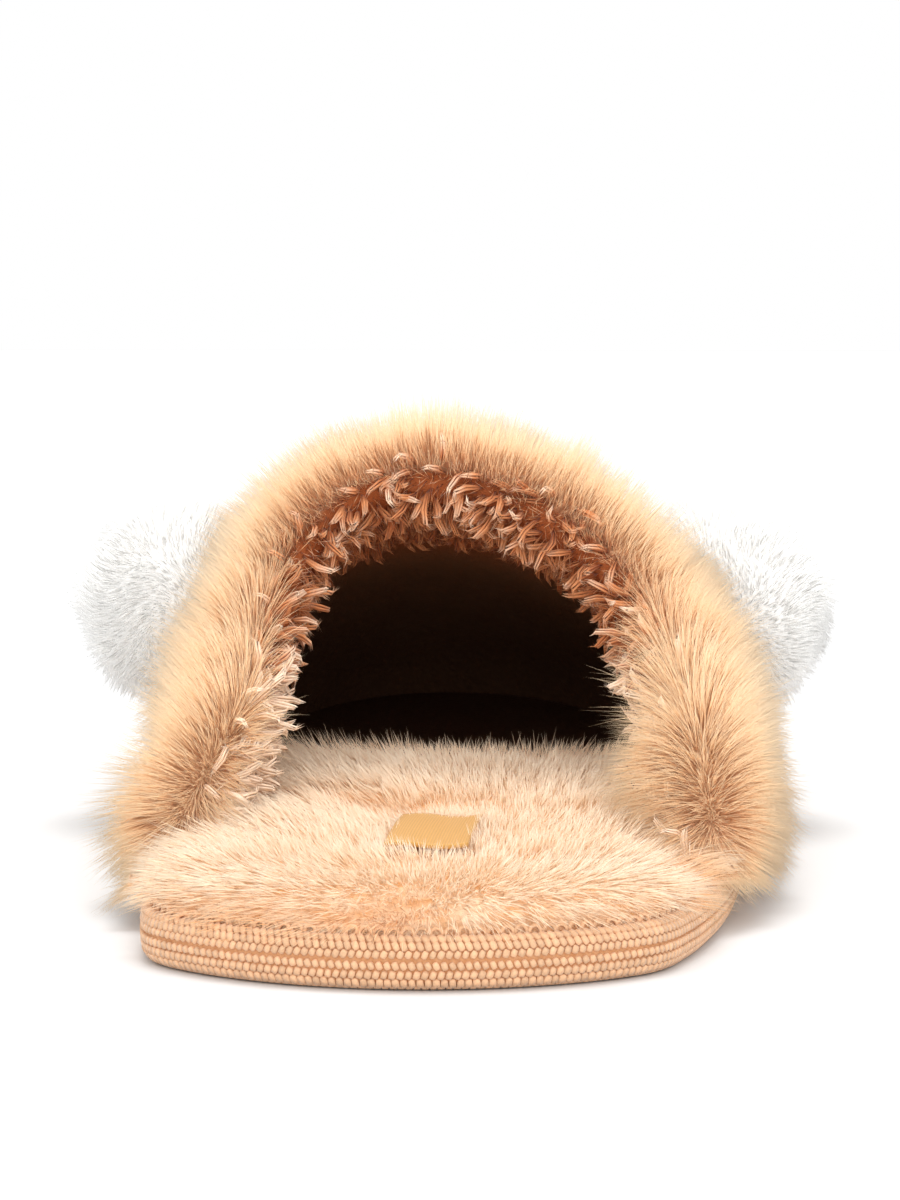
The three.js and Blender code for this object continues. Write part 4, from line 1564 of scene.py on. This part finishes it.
class SLIPPER_OT_sole(bpy.types.Operator):
    """Makes the knit binding and finishes the outsole."""

    bl_idname = "slipper.sole"
    bl_label = "Sole"

    def execute(self, context):
        colour = colours()
        self.make_tape(colour)
        material = yarn_material(colour)
        tree = scatter_tree()
        rng = np.random.default_rng(11)
        self.make_stitches(material, tree, rng)
        self.make_loops(material, tree, rng)
        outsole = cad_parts["outsole"]
        outsole.data.materials.clear()
        outsole.data.materials.append(suede_material())
        return {"FINISHED"}

    def make_tape(self, colour):
        sections = [binding_section(share) for share in np.linspace(-0.5, 0.5, BINDING_STEPS)]
        points = np.concatenate([outline(BINDING_STATIONS, float(i), float(z)) for i, z in sections])
        faces = quads(BINDING_STEPS, BINDING_STATIONS, wrap=True)
        last = (BINDING_STEPS - 1) * BINDING_STATIONS
        for i in range(BINDING_STATIONS):
            nxt = (i + 1) % BINDING_STATIONS
            faces.append((last + i, last + nxt, nxt, i))
        mesh = tidy(mesh_of("binding_tape", points, faces))
        mesh.materials.append(tape_material(colour))
        finish_piece(new_object("binding_tape", mesh), "knit", "binding")

    def make_stitches(self, material, tree, rng):
        """Rows of stitches round the tape, every second row set over by half a stitch."""
        places, turned, sizes, shade = [], [], [], []
        turns = even_turns(STITCH_PITCH)
        for row, (share, long, wide, high, tilt) in enumerate(KNIT_ROWS):
            set_over = 0.5 * (row % 2) * 2 * math.pi / len(turns)
            here, along, climb, out = on_binding(turns + set_over, share)
            for i in range(len(turns)):
                basis = Matrix((Vector(along[i]), Vector(climb[i]), Vector(out[i]))).transposed()
                basis = basis @ Matrix.Rotation(tilt + rng.normal(0, 0.06), 3, "Z")
                turned.append(tuple(basis.to_euler()))
                sizes.append((wide * rng.uniform(0.92, 1.08), long * rng.uniform(0.94, 1.06), high))
                shade.append(rng.uniform(0, 1))
            places.append(here + out * 0.0001)
        places = np.concatenate(places)
        self.set_on("binding_stitches", grain_shape(), places, turned, sizes, shade, material, tree)

    def make_loops(self, material, tree, rng):
        """A row of loops that stands along the binding's upper edge."""
        here, along, climb, out = on_binding(even_turns(LOOP_PITCH), LOOPS_AT)
        turned, sizes = [], []
        for i in range(len(here)):
            upward = Vector(out[i] * 0.75 + climb[i] * 0.55).normalized()
            sideways = Vector(along[i])
            basis = Matrix((sideways, upward, sideways.cross(upward))).transposed()
            basis = basis @ Matrix.Rotation(rng.normal(0, 0.12), 3, "Z")
            turned.append(tuple(basis.to_euler()))
            sizes.append((LOOP_WIDTH, LOOP_HEIGHT * rng.uniform(0.9, 1.1), LOOP_WIDTH))
        shade = rng.uniform(0, 1, len(here))
        self.set_on("binding_loops", loop_shape(), here - out * 0.0003, turned, sizes, shade, material, tree)

    def set_on(self, name, shape, points, turned, sizes, shade, material, tree):
        """Sets a shape on each point, as one piece of the binding."""
        mesh = mesh_of(
            name + "_places", points, [], turned=np.array(turned), size=np.array(sizes), shade=np.array(shade)
        )
        piece = grow(name, new_object(name + "_places", mesh), shape, material, tree)
        bpy.data.objects.remove(shape)
        finish_piece(piece, "knit", "binding")


# Pompoms

POMPOM_CORE = 0.87
DOWN_LENGTH = 0.0048
DOWN_WIDTH = 0.0002
DOWN_DENSITY = 3.5e6
DOWN_GROWTH = dict(
    length_spread=0.25, stray=0.1, clump_size=0.0045, clump_pull=0.12, clump_lean=0.002, sway=0.003,
    sway_scale=90.0, frizz=0.0018, bend=0.0,
)


def down_comb(normals):
    """Down leans a little to one side and another over a ball, never straight out."""
    lean = np.stack([lumps(normals, 1.1, seed) for seed in (21, 22, 23)], axis=-1)
    return unit(normals * 0.55 + (lean - normals * np.sum(lean * normals, axis=-1, keepdims=True)) * 0.6)


class SLIPPER_OT_pompoms(bpy.types.Operator):
    """Makes the two pompoms."""

    bl_idname = "slipper.pompoms"
    bl_label = "Pompoms"

    def execute(self, context):
        size, colour = piles(), colours()
        dim = tinted(colour.white, 0.99)
        ground = plush_skin_material("pompom_ground", dim, colour.white)
        # The pompoms' hair has the piles' painted glow too, in white
        white = fur_material("pompom_fur", dim, colour.white, colour.white, depth=0.8)
        tree = pile_tree()
        hair = down_shape()
        for order, (node, (middle, radius)) in enumerate(POMPOMS.items()):
            ball = bmesh.new()
            bmesh.ops.create_icosphere(ball, subdivisions=4, radius=radius * POMPOM_CORE)
            mesh = bpy.data.meshes.new(node + "_core")
            ball.to_mesh(mesh)
            ball.free()
            spots = np.array([v.co for v in mesh.vertices])
            mesh.transform(Matrix.Translation(Vector(middle)))
            places = mesh_of(
                node + "_places", spots + middle - SHIFT, [tuple(p.vertices) for p in mesh.polygons],
                comb=down_comb(unit(spots)), bend=unit(spots), density=np.ones(len(spots)),
                reach=np.ones(len(spots)), dent=np.zeros(len(spots)),
            )
            mesh.materials.append(ground)
            shade_smooth(mesh)
            finish_piece(new_object(node + "_core", mesh), "pompom_fur", node)
            piece = grow(
                node + "_fur", new_object(node + "_places", places), hair, white, tree,
                per_square_metre=DOWN_DENSITY, length=DOWN_LENGTH, width=DOWN_WIDTH,
                seed=size.seed + 80 + order, **DOWN_GROWTH,
            )
            finish_piece(piece, "pompom_fur", node)
        bpy.data.objects.remove(hair)
        return {"FINISHED"}


class SLIPPER_PT_panel(bpy.types.Panel):
    """Lists the slipper's pieces and settings."""

    bl_idname = "SLIPPER_PT_panel"
    bl_label = "Slipper"
    bl_space_type = "VIEW_3D"
    bl_region_type = "UI"
    bl_category = "Slipper"

    def draw(self, context):
        for group in (context.scene.slipper_piles, context.scene.slipper_colours):
            column = self.layout.column()
            for name in group.__annotations__:
                column.prop(group, name)
        for operator in OPERATORS:
            self.layout.operator(operator.bl_idname)


OPERATORS = (
    SLIPPER_OT_stage,
    SLIPPER_OT_sole,
    SLIPPER_OT_insole,
    SLIPPER_OT_upper,
    SLIPPER_OT_pompoms,
)
CLASSES = (SlipperPiles, SlipperColours, *OPERATORS, SLIPPER_PT_panel)


def register():
    for kind in CLASSES:
        bpy.utils.register_class(kind)
    bpy.types.Scene.slipper_piles = PointerProperty(type=SlipperPiles)
    bpy.types.Scene.slipper_colours = PointerProperty(type=SlipperColours)


def unregister():
    del bpy.types.Scene.slipper_colours
    del bpy.types.Scene.slipper_piles
    for kind in reversed(CLASSES):
        bpy.utils.unregister_class(kind)


def main():
    register()
    bpy.ops.slipper.stage()
    bpy.ops.slipper.sole()
    bpy.ops.slipper.insole()
    bpy.ops.slipper.upper()
    bpy.ops.slipper.pompoms()


if __name__ == "__main__":
    main()
